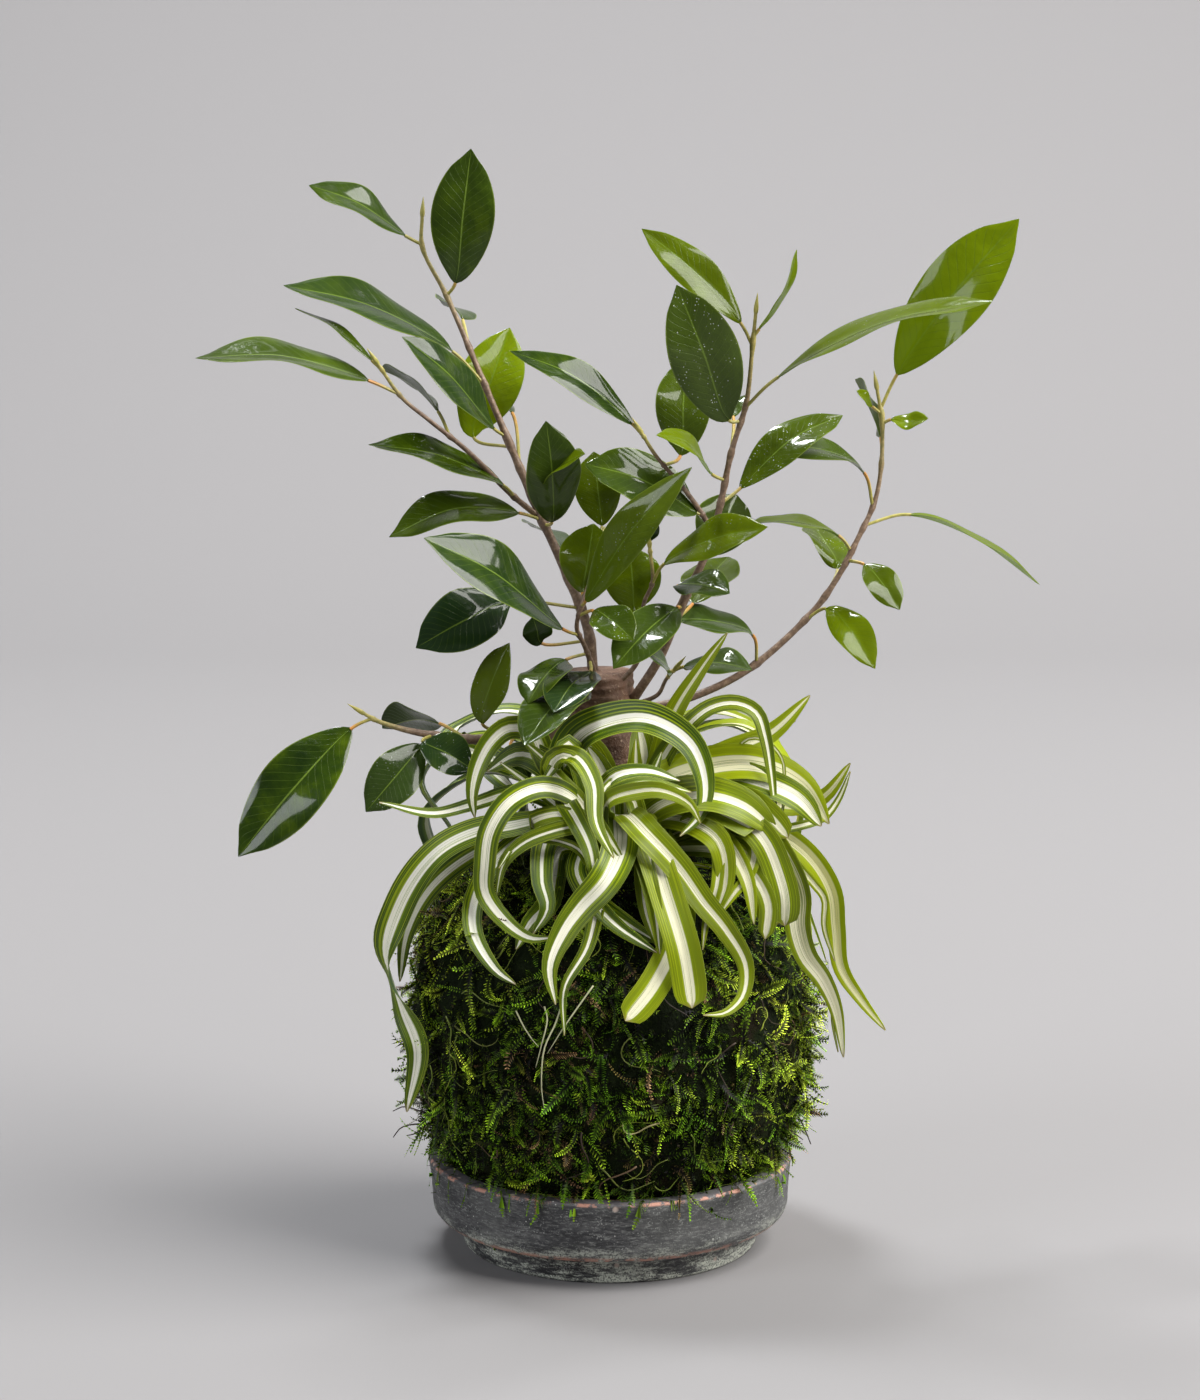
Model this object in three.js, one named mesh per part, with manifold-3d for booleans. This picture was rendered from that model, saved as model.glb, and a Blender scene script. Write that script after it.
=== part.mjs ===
// A moss ball plant on its saucer. A grafted fig with a swollen trunk and a curly plant with
// strap leaves grow out of a ball of soil that is wrapped in moss.
// Millimetres, +Z up. The origin is under the centre of the saucer, and the viewer looks along +Y.
import * as THREE from "three";
import { mergeVertices } from "three/addons/utils/BufferGeometryUtils.js";
import Module from "manifold-3d";

const wasm = await Module();
wasm.setup();

// Driving dimensions
const GAP = 0.3;
const SMALLEST_EDGE = 0.08;
const SEED = 4;
const SAUCER = {
  rim: 67.5, inside: 60.5, height: 33.5, floor: 8, foot: 54.6, footTop: 56, bandFoot: 62.4, band: 6, dish: 12,
};
const SAUCER_SIDES = 40;
const BALL = { radius: 71.5, middle: 85, up: 77, down: 80, squareness: 2.3, seat: 8.3, collar: 43 };
const MOSS_DEPTH = 9;
const MOSS_SIDES = 36;
const SOIL_SIDES = 24;
const ABOVE_BALL = 200;
const TRUNK_SIDES = 12;
const CROWN = { radius: 7, foot: 132, top: 157, offset: 30 };
const BLADE_DEPTH = 0.7;
const STRAP_DEPTH = 0.65;
const LEAF_STATIONS = [0, 0.12, 0.34, 0.6, 0.84, 1];
const STEM_SIDES = 6;
const STEM_STEP = 12;
const STALK_WIDTH = 1.6;
const STRAP_STEP = 18;

// Finishes
const finish = (color, roughness) => new THREE.MeshStandardMaterial({ color, roughness, metalness: 0 });
const CERAMIC = finish(0x4b4c4e, 0.75);
const SOIL = finish(0x33261b, 0.95);
const MOSS = finish(0x3a5216, 0.95);
const BARK = finish(0x6b4a36, 0.8);
const FIG_LEAF = finish(0x2f5a24, 0.3);
const STRAP_LEAF = finish(0xa9bd62, 0.45);

const vec = (x, y, z) => new THREE.Vector3(x, y, z);
const mix = THREE.MathUtils.lerp;
const rad = THREE.MathUtils.degToRad;

// A closed three.js geometry as a solid that can be joined and cut
function solidOf(geometry) {
  const bare = geometry.index ? geometry.clone() : geometry;
  bare.deleteAttribute("normal");
  bare.deleteAttribute("uv");
  const merged = mergeVertices(bare, 1e-4);
  const vertProperties = new Float32Array(merged.attributes.position.array);
  const triVerts = new Uint32Array(merged.index.array);
  return new wasm.Manifold(new wasm.Mesh({ numProp: 3, vertProperties, triVerts }));
}

// The largest body of a joined or cut solid, without scraps and the shortest edges that a cut leaves
function cleaned(solid) {
  const bodies = solid.asOriginal().simplify(SMALLEST_EDGE).decompose();
  return bodies.sort((a, b) => b.volume() - a.volume())[0];
}

// A solid as a named mesh
function meshOf(name, solid, material) {
  const { vertProperties, triVerts } = solid.getMesh();
  const geometry = new THREE.BufferGeometry();
  geometry.setAttribute("position", new THREE.BufferAttribute(new Float32Array(vertProperties), 3));
  geometry.setIndex(new THREE.BufferAttribute(new Uint32Array(triVerts), 1));
  geometry.computeVertexNormals();
  const mesh = new THREE.Mesh(geometry, material);
  mesh.name = name;
  return mesh;
}

// A profile of [radius, height] pairs turned about the Z axis
function turned(profile, sides) {
  const geometry = new THREE.LatheGeometry(profile.map(([r, z]) => new THREE.Vector2(r, z)), sides);
  return geometry.rotateX(Math.PI / 2);
}

// Points of an arc in a profile, from one angle to another, in degrees
function arc(radius, height, r, from, to, steps) {
  return Array.from({ length: steps + 1 }, (_, i) => {
    const angle = rad(mix(from, to, i / steps));
    return [radius + r * Math.cos(angle), height + r * Math.sin(angle)];
  });
}

// A closed body from rings of points, each ring a section with an even number of points. The ends
// are closed in strips. From point flipFrom on, faces are split along the other diagonal.
function loft(rings, flipFrom) {
  const n = rings[0].length;
  const index = [];
  for (let i = 0; i + 1 < rings.length; i++) {
    for (let k = 0; k < n; k++) {
      const a = i * n + k;
      const b = i * n + ((k + 1) % n);
      if (k < flipFrom) index.push(a, b, b + n, a, b + n, a + n);
      else index.push(a, b, a + n, b, b + n, a + n);
    }
  }
  const last = (rings.length - 1) * n;
  for (let k = 0; k < n / 2 - 1; k++) {
    const [a, b, c, d] = [k, k + 1, n - 2 - k, n - 1 - k];
    index.push(a, c, b, a, d, c);
    index.push(last + a, last + b, last + c, last + a, last + c, last + d);
  }
  const geometry = new THREE.BufferGeometry();
  const places = rings.flat().flatMap((p) => p.toArray());
  geometry.setAttribute("position", new THREE.Float32BufferAttribute(places, 3));
  geometry.setIndex(index);
  return geometry;
}

// A round section carried along a curve, with its radius running from one value to another
function tube(curve, steps, fromRadius, toRadius, sides) {
  const frames = curve.computeFrenetFrames(steps, false);
  const rings = [];
  for (let i = 0; i <= steps; i++) {
    const radius = mix(fromRadius, toRadius, i / steps);
    const centre = curve.getPointAt(i / steps);
    rings.push(Array.from({ length: sides }, (_, k) => {
      const angle = (2 * Math.PI * k) / sides;
      const across = frames.normals[i].clone().multiplyScalar(radius * Math.cos(angle));
      return centre.clone().add(across).addScaledVector(frames.binormals[i], radius * Math.sin(angle));
    }));
  }
  return solidOf(loft(rings, sides));
}

// A thin blade carried along a curve: three points across its upper face and three under them.
// stations are shares of the length, halfWidth gives the half width at one, facing the direction
// that the upper face looks in, and fold how far the rib lies below the edges as a share of width.
function blade(curve, stations, halfWidth, facing, fold, depth) {
  let last = null;
  const rings = stations.map((t) => {
    const along = curve.getTangentAt(t);
    const face = facing(t).clone();
    face.addScaledVector(along, -face.dot(along));
    const up = face.length() > 0.25 || !last ? face.normalize() : last.clone();
    up.addScaledVector(along, -up.dot(along)).normalize();
    last = up;
    const side = new THREE.Vector3().crossVectors(along, up);
    const half = halfWidth(t);
    const rib = curve.getPointAt(t);
    const at = (s, lift) => rib.clone().addScaledVector(side, s * half).addScaledVector(up, lift);
    const lift = fold * half;
    return [at(-1, lift), at(0, 0), at(1, lift), at(1, lift - depth), at(0, -depth), at(-1, lift - depth)];
  });
  return solidOf(loft(rings, 3));
}

const curveOf = (points) => new THREE.CatmullRomCurve3(points.map((p) => vec(...p)), false, "centripetal");

// Saucer: a foot, a groove, a band that rounds in at its bottom, a flat rim and a plain dish inside
function makeSaucer() {
  const { band, dish } = SAUCER;
  const profile = [
    [0, 0],
    [SAUCER.foot - 1, 0],
    [SAUCER.foot, 1],
    [SAUCER.footTop, 9],
    [SAUCER.bandFoot - 3, 10.3],
    ...arc(SAUCER.rim - 1.5 - band, 10.3 + band, band, -70, 0, 3),
    [SAUCER.rim, SAUCER.height - 1],
    [SAUCER.rim - 1, SAUCER.height],
    [SAUCER.inside, SAUCER.height],
    ...arc(SAUCER.inside - 2 - dish, SAUCER.floor + dish, dish, 0, -90, 3),
    [0, SAUCER.floor],
  ];
  return solidOf(turned(profile, SAUCER_SIDES));
}

// Radius of the ball at a height, a squared circle: (r / R)^p + (h / H)^p = 1, with inset taken off
function ballRadius(z, inset) {
  const h = z - BALL.middle;
  const reach = (h > 0 ? BALL.up : BALL.down) - inset;
  const p = BALL.squareness;
  return (BALL.radius - inset) * Math.pow(Math.max(0, 1 - Math.pow(Math.abs(h) / reach, p)), 1 / p);
}

// Profile of the ball from the lowest height to the highest, closer together towards both ends
function ballProfile(low, high, inset, steps) {
  const share = (z, reach) => Math.asin((z - BALL.middle) / (reach - inset));
  const [a, b] = [share(low, BALL.down), share(high, BALL.up)];
  return Array.from({ length: steps + 1 }, (_, i) => {
    const angle = mix(a, b, i / steps);
    const z = BALL.middle + ((angle > 0 ? BALL.up : BALL.down) - inset) * Math.sin(angle);
    return [ballRadius(z, inset), z];
  });
}

// Relief of the moss: cushions some 25 mm across with smaller ones on them, fading at seat and rim
function mossRelief(angle, z) {
  const large = Math.sin(8 * angle + 0.05 * z) * Math.sin(0.13 * z + 1.3 * Math.sin(3 * angle));
  const small = Math.sin(15 * angle - 0.1 * z) * Math.sin(0.27 * z + 2 * Math.sin(5 * angle));
  const fade = THREE.MathUtils.smoothstep(z, SAUCER.height + 2, SAUCER.height + 18);
  return fade * (2 * large + 1.2 * small);
}

// A plain ball of the same form, smaller by inset
function plainBall(inset) {
  const [low, top] = [BALL.seat + inset, BALL.middle + BALL.up - inset];
  const profile = [[0, low], ...ballProfile(low, top - 0.5, inset, 9), [0, top]];
  return solidOf(turned(profile, SOIL_SIDES));
}

// Moss cover: a wrap round the soil with relief outside, flat below, open at the top
function makeMoss() {
  const outer = ballProfile(BALL.seat, BALL.middle + BALL.up - 1, 0, 12);
  const profile = [[0, BALL.seat], ...outer, [0, BALL.middle + BALL.up]];
  const geometry = turned(profile, MOSS_SIDES);
  const position = geometry.attributes.position;
  for (let i = 0; i < position.count; i++) {
    const [x, y, z] = [position.getX(i), position.getY(i), position.getZ(i)];
    const r = Math.hypot(x, y);
    const grow = r > 1 ? 1 + mossRelief(Math.atan2(y, x), z) / r : 1;
    position.setXY(i, x * grow, y * grow);
  }
  const { middle, collar } = BALL;
  const opening = [[0, middle], [collar, middle], [collar, ABOVE_BALL], [0, ABOVE_BALL]];
  const mouth = turned(opening, SOIL_SIDES);
  return cleaned(solidOf(geometry).subtract(plainBall(MOSS_DEPTH)).subtract(solidOf(mouth)));
}

// Trunk of the fig: [height, radius, x, y] from the root end in the soil to the flat cut on top
const TRUNK = [
  [120, 8, 0, 0], [132, 13, 0, 0], [146, 16, 0, 0], [158, 19, 0, 1], [170, 21, -1, 2], [182, 21.5, -3, 3],
  [192, 20, -5, 3], [200, 17, -6, 3], [207, 14, -5, 2], [212, 12.5, -4, 2], [213.5, 11, -4, 2],
];

// A swollen body with three soft lobes that turn as they rise. grow makes it larger all round.
function makeTrunk(grow) {
  const rings = TRUNK.map(([z, radius, x, y], i) => Array.from({ length: TRUNK_SIDES }, (_, k) => {
    const angle = (2 * Math.PI * k) / TRUNK_SIDES;
    const lobes = 1 + 0.07 * Math.sin(3 * angle + z / 18) + 0.04 * Math.sin(5 * angle - z / 11);
    const r = radius * lobes + grow;
    const lift = i === TRUNK.length - 1 ? grow : 0;
    return vec(x + r * Math.cos(angle), y + r * Math.sin(angle), z + lift);
  }));
  rings[0].forEach((p) => (p.z -= grow));
  return solidOf(loft(rings, TRUNK_SIDES));
}

// Crown of the strap-leaf plant: a short stump that stands in the soil at (x, y)
function makeCrown(x, y, grow) {
  const { radius, foot, top } = CROWN;
  const curve = new THREE.LineCurve3(vec(x, y, foot - grow), vec(x, y, top + grow));
  return tube(curve, 1, radius + grow, radius - 2 + grow, 8);
}

// Direction that a face looks in: tilt 0 is up, 90 level, and turn 0 is towards the viewer,
// 90 to the right, 180 away
function look(tilt, turn = 0) {
  const [a, b] = [rad(tilt), rad(turn)];
  return vec(Math.sin(a) * Math.sin(b), -Math.sin(a) * Math.cos(b), Math.cos(a));
}

// Half width of a fig leaf: an ellipse drawn out into a short tip
function figOutline(width, t) {
  const belly = Math.pow(Math.sin(Math.PI * Math.pow(t, 0.85)), 0.8);
  return mix(STALK_WIDTH / 2, width / 2, belly);
}

// A fig leaf and its stalk in one blade. at is the share of the stem's length that it grows from,
// base and tip the ends of its rib, bend how far the rib arches towards its upper face.
function figLeaf(stem, steps, [at, base, tip, width, tilt, turn = 0, bend = 0.08]) {
  const [root, a, b] = [stem.getPointAt(Math.round(at * steps) / steps), vec(...base), vec(...tip)];
  const face = look(tilt, turn);
  const crest = a.clone().lerp(b, 0.5).addScaledVector(face, bend * a.distanceTo(b));
  const rib = new THREE.CatmullRomCurve3([root, a, crest, b], false, "centripetal");
  const stalk = root.distanceTo(a) / rib.getLength();
  const bends = root.distanceTo(a) > 12 ? [0, stalk / 2] : [0];
  const stations = [...bends, ...LEAF_STATIONS.map((t) => mix(stalk, 1, t))];
  const halfWidth = (t) => figOutline(width, Math.max(0, Math.min(1, (t - stalk) / (1 - stalk))));
  return blade(rib, stations, halfWidth, () => face, 0.22, BLADE_DEPTH);
}

// A leafy stem, with its side branch where it has one. parts lists stems, each with its route,
// its radius at both ends and its leaves.
function leafyStem(parts, trunk) {
  const bodies = parts.flatMap(({ route, from, to, leaves }) => {
    const stem = curveOf(route);
    const steps = Math.max(6, Math.ceil(stem.getLength() / STEM_STEP));
    return [tube(stem, steps, from, to, STEM_SIDES), ...leaves.map((leaf) => figLeaf(stem, steps, leaf))];
  });
  return cleaned(wasm.Manifold.union(bodies).subtract(trunk));
}

// Fig stems. A leaf is [share of stem, base of rib, tip, width, tilt, turn, bend].
const LEFT_STEM = {
  route: [[-6, 3, 208], [-8, 3, 228], [-17, 6, 251], [-27, 8, 273], [-33, 10, 287], [-44, 12, 313],
    [-59, 16, 348], [-68, 18, 366], [-68, 19, 377]],
  from: 2.6,
  to: 0.8,
  leaves: [
    [0.94, [-74, 17, 370], [-108, 10, 388], 17, 28],
    [0.83, [-56, 14, 353], [-50, 14, 401], 22, 90, 0, 0.04],
    [0.64, [-57, 8, 329], [-116, -8, 353], 24, 25],
    [0.53, [-42, 8, 301], [-74, -10, 335], 20, 35],
    [0.51, [-50, 20, 297], [-37, 36, 336], 22, 75],
    [0.35, [-33, 2, 271], [-79, -14, 264], 21, 30, 0, 0.14],
    [0.16, [-36, -8, 240], [-69, -28, 226], 22, 62],
    [0.34, [-21, 0, 268], [-23, -8, 305], 20, 88, 20],
    [0.4, [-25, 2, 281], [-9, -16, 294], 14, 35],
    [0.09, [-25, -2, 224], [-28, -4, 234], 10, 80],
    [0.22, [-18, 18, 256], [-30, 44, 262], 20, 40, 180],
    [0.46, [-36, 22, 306], [-58, 44, 312], 18, 35, 190],
    [0.72, [-54, 24, 340], [-62, 48, 344], 16, 45, 170],
  ],
};
const LEFT_BRANCH = {
  route: [[-26, 8, 269], [-36, 2, 278], [-51, -6, 294], [-65, -12, 306], [-74, -16, 314],
    [-82, -20, 326]],
  from: 1.5,
  to: 0.8,
  leaves: [
    [0.84, [-85, -20, 320], [-144, -38, 329], 24, 20],
    [0.97, [-84, -19, 327], [-112, -8, 345], 14, 5],
    [0.15, [-38, -2, 281], [-86, -14, 297], 22, 20],
    [0.55, [-62, 0, 308], [-84, 20, 322], 18, 30, 160],
  ],
};
const RIGHT_STEM = {
  route: [[8, -3, 203], [18, -9, 220], [26, -12, 240], [35, -14, 260], [39, -15, 275], [43, -17, 295],
    [48, -18, 312], [50, -20, 332], [51, -21, 344]],
  from: 2.4,
  to: 0.8,
  leaves: [
    [0.42, [35, -8, 257], [46, 8, 277], 20, 80],
    [0.92, [46, -20, 340], [11, -14, 373], 18, 50],
    [0.74, [42, -20, 306], [23, -30, 354], 24, 85],
    [0.59, [36, -20, 287], [16, -34, 302], 14, 30, 0, 0.2],
    [0.78, [58, -24, 321], [131, -48, 349], 22, 17],
    [0.54, [46, -12, 281], [84, 6, 306], 22, 35, 0, 0.12],
    [0.3, [24, -18, 247], [42, -32, 246], 16, 30],
    [0.27, [24, -17, 239], [1, -44, 221], 18, 45],
    [0.94, [52, -21, 338], [65, -24, 366], 10, 88, 75],
    [0.24, [30, 2, 238], [44, 28, 252], 20, 40, 150],
    [0.66, [44, -4, 306], [36, 20, 322], 18, 45, 190],
  ],
};
const RIGHT_BRANCH = {
  route: [[37, -14, 264], [33, -17, 272], [26, -20, 282], [16, -24, 294], [11, -26, 302]],
  from: 1.3,
  to: 0.8,
  leaves: [
    [0.21, [31, -18, 273], [-9, -24, 291], 24, 42, 0, 0.1],
    [0.7, [25, -12, 293], [27, 2, 327], 19, 88],
    [0.97, [8, -26, 305], [-35, -30, 331], 14, 40, 0, 0.12],
  ],
};
const FAR_STEM = {
  route: [[12, 3, 199], [30, 6, 203], [51, 9, 213], [74, 14, 233], [83, 16, 245], [90, 18, 258],
    [98, 22, 276], [100, 26, 301], [98, 27, 314]],
  from: 2,
  to: 0.8,
  leaves: [
    [0.95, [105, 27, 319], [148, 20, 376], 26, 75, -20],
    [0.73, [93, 18, 284], [55, -6, 293], 18, 28, 0, 0.14],
    [0.94, [96, 24, 308], [90, 20, 314], 5, 40],
    [0.92, [103, 25, 303], [116, 18, 304], 8, 40, 0, -0.1],
    [0.68, [110, 26, 268], [160, 34, 241], 18, 5],
    [0.62, [84, 16, 261], [51, 6, 267], 16, 10],
    [0.59, [93, 13, 251], [105, 0, 236], 16, 42],
    [0.43, [79, 11, 235], [96, -4, 215], 16, 48, 0, 0.16],
    [0.28, [52, 5, 226], [22, -4, 233], 18, 22],
    [0.5, [84, 24, 248], [76, 50, 262], 18, 40, 190],
    [0.83, [100, 32, 296], [92, 54, 316], 18, 45, 180],
  ],
};
const FRONT_STEM = {
  route: [[-3, -6, 206], [-9, -13, 224], [-12, -18, 232], [-10, -21, 241], [-6, -14, 252],
    [-3, 0, 262]],
  from: 1.3,
  to: 0.8,
  leaves: [
    [0.37, [-17, -22, 232], [-65, -44, 267], 25, 35],
    [0.98, [-3, 6, 266], [-6, 16, 292], 16, 88],
    [0.55, [-9, -25, 242], [28, -48, 292], 22, 65, -25],
    [0.6, [-10, -16, 244], [-6, -6, 268], 20, 88],
    [0.5, [-6, -25, 239], [8, -44, 231], 14, 50],
    [0.2, [-7, -17, 216], [-20, -47, 206], 18, 35, -15],
    [0.17, [-9, -16, 211], [-30, -58, 196], 20, 30, -15],
    [0.25, [-16, -16, 220], [-29, -40, 208], 18, 50, -30],
  ],
};
const MIDDLE_STEM = {
  route: [[1, -6, 208], [10, -10, 219], [12, -14, 240], [15, -16, 248], [14, -18, 261]],
  from: 1.3,
  to: 0.8,
  leaves: [
    [0.55, [9, -7, 236], [7, 4, 259], 20, 88],
    [0.97, [14, -18, 263], [15, -21, 272], 5, 80],
    [0.76, [19, -20, 255], [55, -36, 270], 18, 38],
  ],
};
const LOW_LEFT_STEM = {
  route: [[-16, -2, 194], [-31, -7, 195], [-44, -14, 191], [-68, -20, 194], [-83, -24, 199],
    [-88, -25, 202]],
  from: 3.6,
  to: 0.8,
  leaves: [
    [0.32, [-46, -17, 197], [-36, -22, 227], 14, 75, -30],
    [0.64, [-67, -22, 190], [-87, -34, 168], 17, 78],
    [0.66, [-67, -26, 192], [-49, -28, 182], 15, 55],
    [0.95, [-92, -26, 197], [-132, -40, 153], 24, 62],
    [0.19, [-36, -18, 189], [-29, -24, 178], 10, 62],
    [0.5, [-62, -10, 196], [-84, 14, 190], 18, 40, 160],
  ],
};
const LOW_RIGHT_STEM = {
  route: [[7, -8, 202], [17, -14, 207], [20, -17, 213], [23, -19, 217]],
  from: 1.2,
  to: 0.8,
  leaves: [
    [0.84, [21, -21, 217], [12, -36, 226], 12, 48],
    [0.97, [26, -20, 218], [50, -34, 219], 16, 25],
  ],
};

// Half width of a strap leaf: narrower at the root, widest before the middle, then a long taper
function strapOutline(width, blunt) {
  return (t) => {
    const root = mix(0.2, 1, THREE.MathUtils.smoothstep(t, 0, 0.3));
    const taper = Math.pow(Math.max(0, 1 - Math.pow(t, blunt)), 0.75);
    return 0.45 + (width / 2 - 0.45) * root * taper;
  };
}

// A strap leaf. faces are the directions that its upper face looks in, evenly along it, and the
// route starts at its crown. blunt is how late it narrows.
function strapLeaf(crown, [width, faces, route, blunt = 4.5]) {
  const [dx, dy] = [route[0][0] - crown[0], route[0][1] - crown[1]];
  const share = (CROWN.radius - 3) / Math.max(1, Math.hypot(dx, dy));
  const root = [crown[0] + dx * share, crown[1] + dy * share, CROWN.top - 4];
  const curve = curveOf([root, ...route]);
  const steps = Math.max(6, Math.round(curve.getLength() / STRAP_STEP));
  const stations = Array.from({ length: steps + 1 }, (_, i) => i / steps);
  const facing = (t) => {
    const place = t * (faces.length - 1);
    const i = Math.min(Math.floor(place), faces.length - 2);
    return faces[i].clone().lerp(faces[i + 1], place - i);
  };
  return blade(curve, stations, strapOutline(width, blunt), facing, 0.16, STRAP_DEPTH);
}

const UP = look(20);
const SKY = look(50);
const FRONT = look(80);
const LEFT = look(75, -40);
const RIGHT = look(75, 40);
const AWAY = look(80, 180);
const SIDE = look(90, -90);

// Strap leaves in front: [width, faces, route from the crown, blunt]
const FRONT_CROWN = [3, -CROWN.offset];
const FRONT_STRAPS = [
  [17, [SKY, SKY, SKY, FRONT, FRONT], [[-14, -32, 178], [-12, -37, 194], [0, -44, 202],
    [14, -50, 204], [28, -54, 196], [33, -57, 182], [31, -60, 172], [24, -63, 165]], 1.8],
  [8.5, [AWAY, SKY, FRONT, FRONT, FRONT], [[-13, -46, 175], [-24, -52, 180], [-35, -56, 176],
    [-42, -57, 166], [-44, -56, 154], [-44, -54, 143], [-38, -58, 135], [-28, -68, 130],
    [-20, -72, 131]]],
  [14, [AWAY, SKY, FRONT, FRONT], [[3, -50, 170], [3, -64, 160], [-2, -72, 151], [-10, -72, 142],
    [-16, -74, 134], [-21, -77, 122], [-19, -79, 109]], 2.4],
  [12, [AWAY, SKY, FRONT, FRONT, FRONT], [[5, -54, 171], [13, -66, 166], [24, -66, 154],
    [32, -68, 143], [40, -68, 133], [47, -67, 120], [46, -70, 110], [40, -74, 105], [32, -78, 105]], 1.8],
  [12, [AWAY, SKY, FRONT, FRONT], [[9, -48, 168], [15, -64, 158], [20, -70, 144], [25, -76, 128],
    [27, -78, 117], [28, -80, 108]], 12],
  [11, [AWAY, SKY, FRONT, FRONT], [[14, -47, 164], [21, -58, 152], [24, -66, 137], [21, -71, 126],
    [14, -77, 114], [5, -82, 104]], 12],
  [11, [FRONT, SKY, SKY, SKY, FRONT, SIDE, FRONT, FRONT], [[-22, -42, 166], [-36, -46, 165], [-49, -44, 162],
    [-61, -42, 155], [-73, -38, 139], [-80, -35, 118], [-78, -35, 107], [-74, -36, 96],
    [-69, -40, 82], [-73, -42, 60]], 8],
  [8, [FRONT, SKY, FRONT, FRONT], [[-30, -36, 160], [-47, -36, 154], [-64, -31, 140], [-73, -28, 123],
    [-76, -26, 104]]],
  [8, [FRONT, SKY, SKY, SKY], [[-22, -34, 172], [-34, -36, 175], [-49, -37, 171], [-63, -37, 168],
    [-82, -37, 172]], 2],
  [9, [FRONT, SKY, FRONT, FRONT], [[-22, -31, 184], [-28, -31, 196], [-36, -33, 198], [-42, -36, 194],
    [-47, -38, 185], [-49, -40, 175], [-48, -40, 167]]],
  [12, [FRONT, FRONT, FRONT], [[-1, -35, 174], [-8, -31, 190], [-20, -28, 194]], 8],
  [12, [FRONT, FRONT, FRONT], [[9, -35, 172], [12, -33, 188], [10, -29, 199]], 8],
  [12, [FRONT, FRONT, LEFT], [[-9, -34, 170], [-20, -33, 183], [-32, -29, 188], [-44, -25, 181]]],
  [9, [FRONT, FRONT, FRONT], [[16, -34, 182], [22, -35, 203], [32, -37, 220], [41, -39, 233]], 2.5],
  [9, [FRONT, SKY, SKY, FRONT, RIGHT], [[18, -38, 187], [26, -42, 199], [35, -44, 207],
    [44, -46, 209], [51, -48, 206], [54, -50, 198], [56, -52, 186], [58, -54, 166]], 1.6],
  [9, [FRONT, FRONT, FRONT], [[26, -36, 182], [42, -34, 190], [57, -31, 196], [71, -28, 209]]],
  [15, [FRONT, SKY, SKY, FRONT], [[16, -40, 177], [32, -44, 185], [51, -46, 187], [67, -46, 180],
    [77, -46, 166]]],
  [8, [FRONT, SKY, FRONT, FRONT], [[28, -32, 170], [48, -34, 173], [66, -34, 170], [76, -35, 174],
    [85, -36, 186]]],
  [15, [FRONT, SKY, SKY, FRONT], [[16, -48, 172], [32, -56, 178], [46, -58, 175], [58, -56, 165]], 6],
  [11, [FRONT, SKY, FRONT, FRONT, FRONT], [[26, -48, 168], [44, -53, 169], [54, -55, 163],
    [61, -54, 153], [66, -48, 140], [66, -48, 130], [69, -46, 119], [76, -40, 108], [81, -36, 96],
    [84, -34, 78]], 3],
  [8, [FRONT, SKY, FRONT, FRONT, FRONT], [[36, -34, 164], [56, -36, 162], [70, -34, 153],
    [79, -32, 139], [81, -30, 125], [83, -30, 110], [90, -32, 99], [99, -34, 88]]],
  [10, [AWAY, SKY, FRONT, FRONT], [[20, -50, 169], [37, -63, 164], [40, -64, 150], [37, -66, 139]]],
  [11, [FRONT, SKY, FRONT, FRONT], [[28, -40, 164], [46, -48, 156], [54, -52, 144], [58, -54, 131]], 12],
  [9, [FRONT, SKY, FRONT, FRONT], [[32, -26, 160], [52, -26, 154], [64, -28, 142], [72, -28, 124]]],
  [6, [AWAY, SKY, FRONT, LEFT], [[-5, -50, 166], [-12, -56, 167], [-20, -59, 166], [-30, -59, 162],
    [-37, -58, 155], [-40, -54, 142]]],
  [9, [AWAY, SKY, FRONT, FRONT], [[-10, -42, 168], [-22, -50, 162], [-24, -60, 149],
    [-22, -65, 140], [-27, -66, 131]]],
  [7, [AWAY, SKY, FRONT, FRONT], [[-6, -46, 161], [-12, -58, 152], [-6, -67, 143], [2, -70, 135],
    [16, -73, 126]]],
  [8, [AWAY, SKY, FRONT, FRONT], [[-16, -46, 174], [-12, -58, 170], [-7, -68, 161],
    [-5, -71, 147]]],
  [8, [FRONT, SKY, FRONT, FRONT], [[-24, -40, 162], [-40, -46, 153], [-48, -50, 139], [-48, -55, 129],
    [-40, -65, 118], [-33, -70, 114]]],
  [8, [AWAY, SKY, FRONT, FRONT], [[2, -52, 160], [-3, -64, 148], [-8, -72, 128], [-16, -76, 114],
    [-16, -79, 98]], 1.4],
  [7, [AWAY, SKY, FRONT, FRONT], [[8, -52, 164], [12, -66, 155], [15, -71, 143], [17, -75, 126]]],
  [6, [AWAY, FRONT, FRONT], [[10, -32, 174], [20, -32, 190], [29, -31, 197]]],
  [7, [AWAY, SKY, SKY, SKY], [[-5, -48, 170], [-3, -54, 179], [2, -56, 185], [13, -58, 187],
    [24, -60, 184]]],
  [7, [AWAY, FRONT, SKY, FRONT, FRONT], [[-2, -54, 170], [0, -64, 178], [8, -70, 182],
    [17, -72, 183], [27, -70, 178], [31, -70, 171]]],
  [8, [AWAY, SKY, SKY, FRONT], [[-20, -40, 180], [-20, -45, 189], [-12, -52, 191], [-6, -60, 183],
    [-5, -68, 171], [1, -76, 160]]],
];

// A draw between 0 and 1 that is the same each time for a leaf and a purpose
function draw(leaf, purpose) {
  const wave = Math.sin(12.9898 * leaf + 78.233 * purpose + SEED) * 43758.5453;
  return wave - Math.floor(wave);
}

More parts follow.
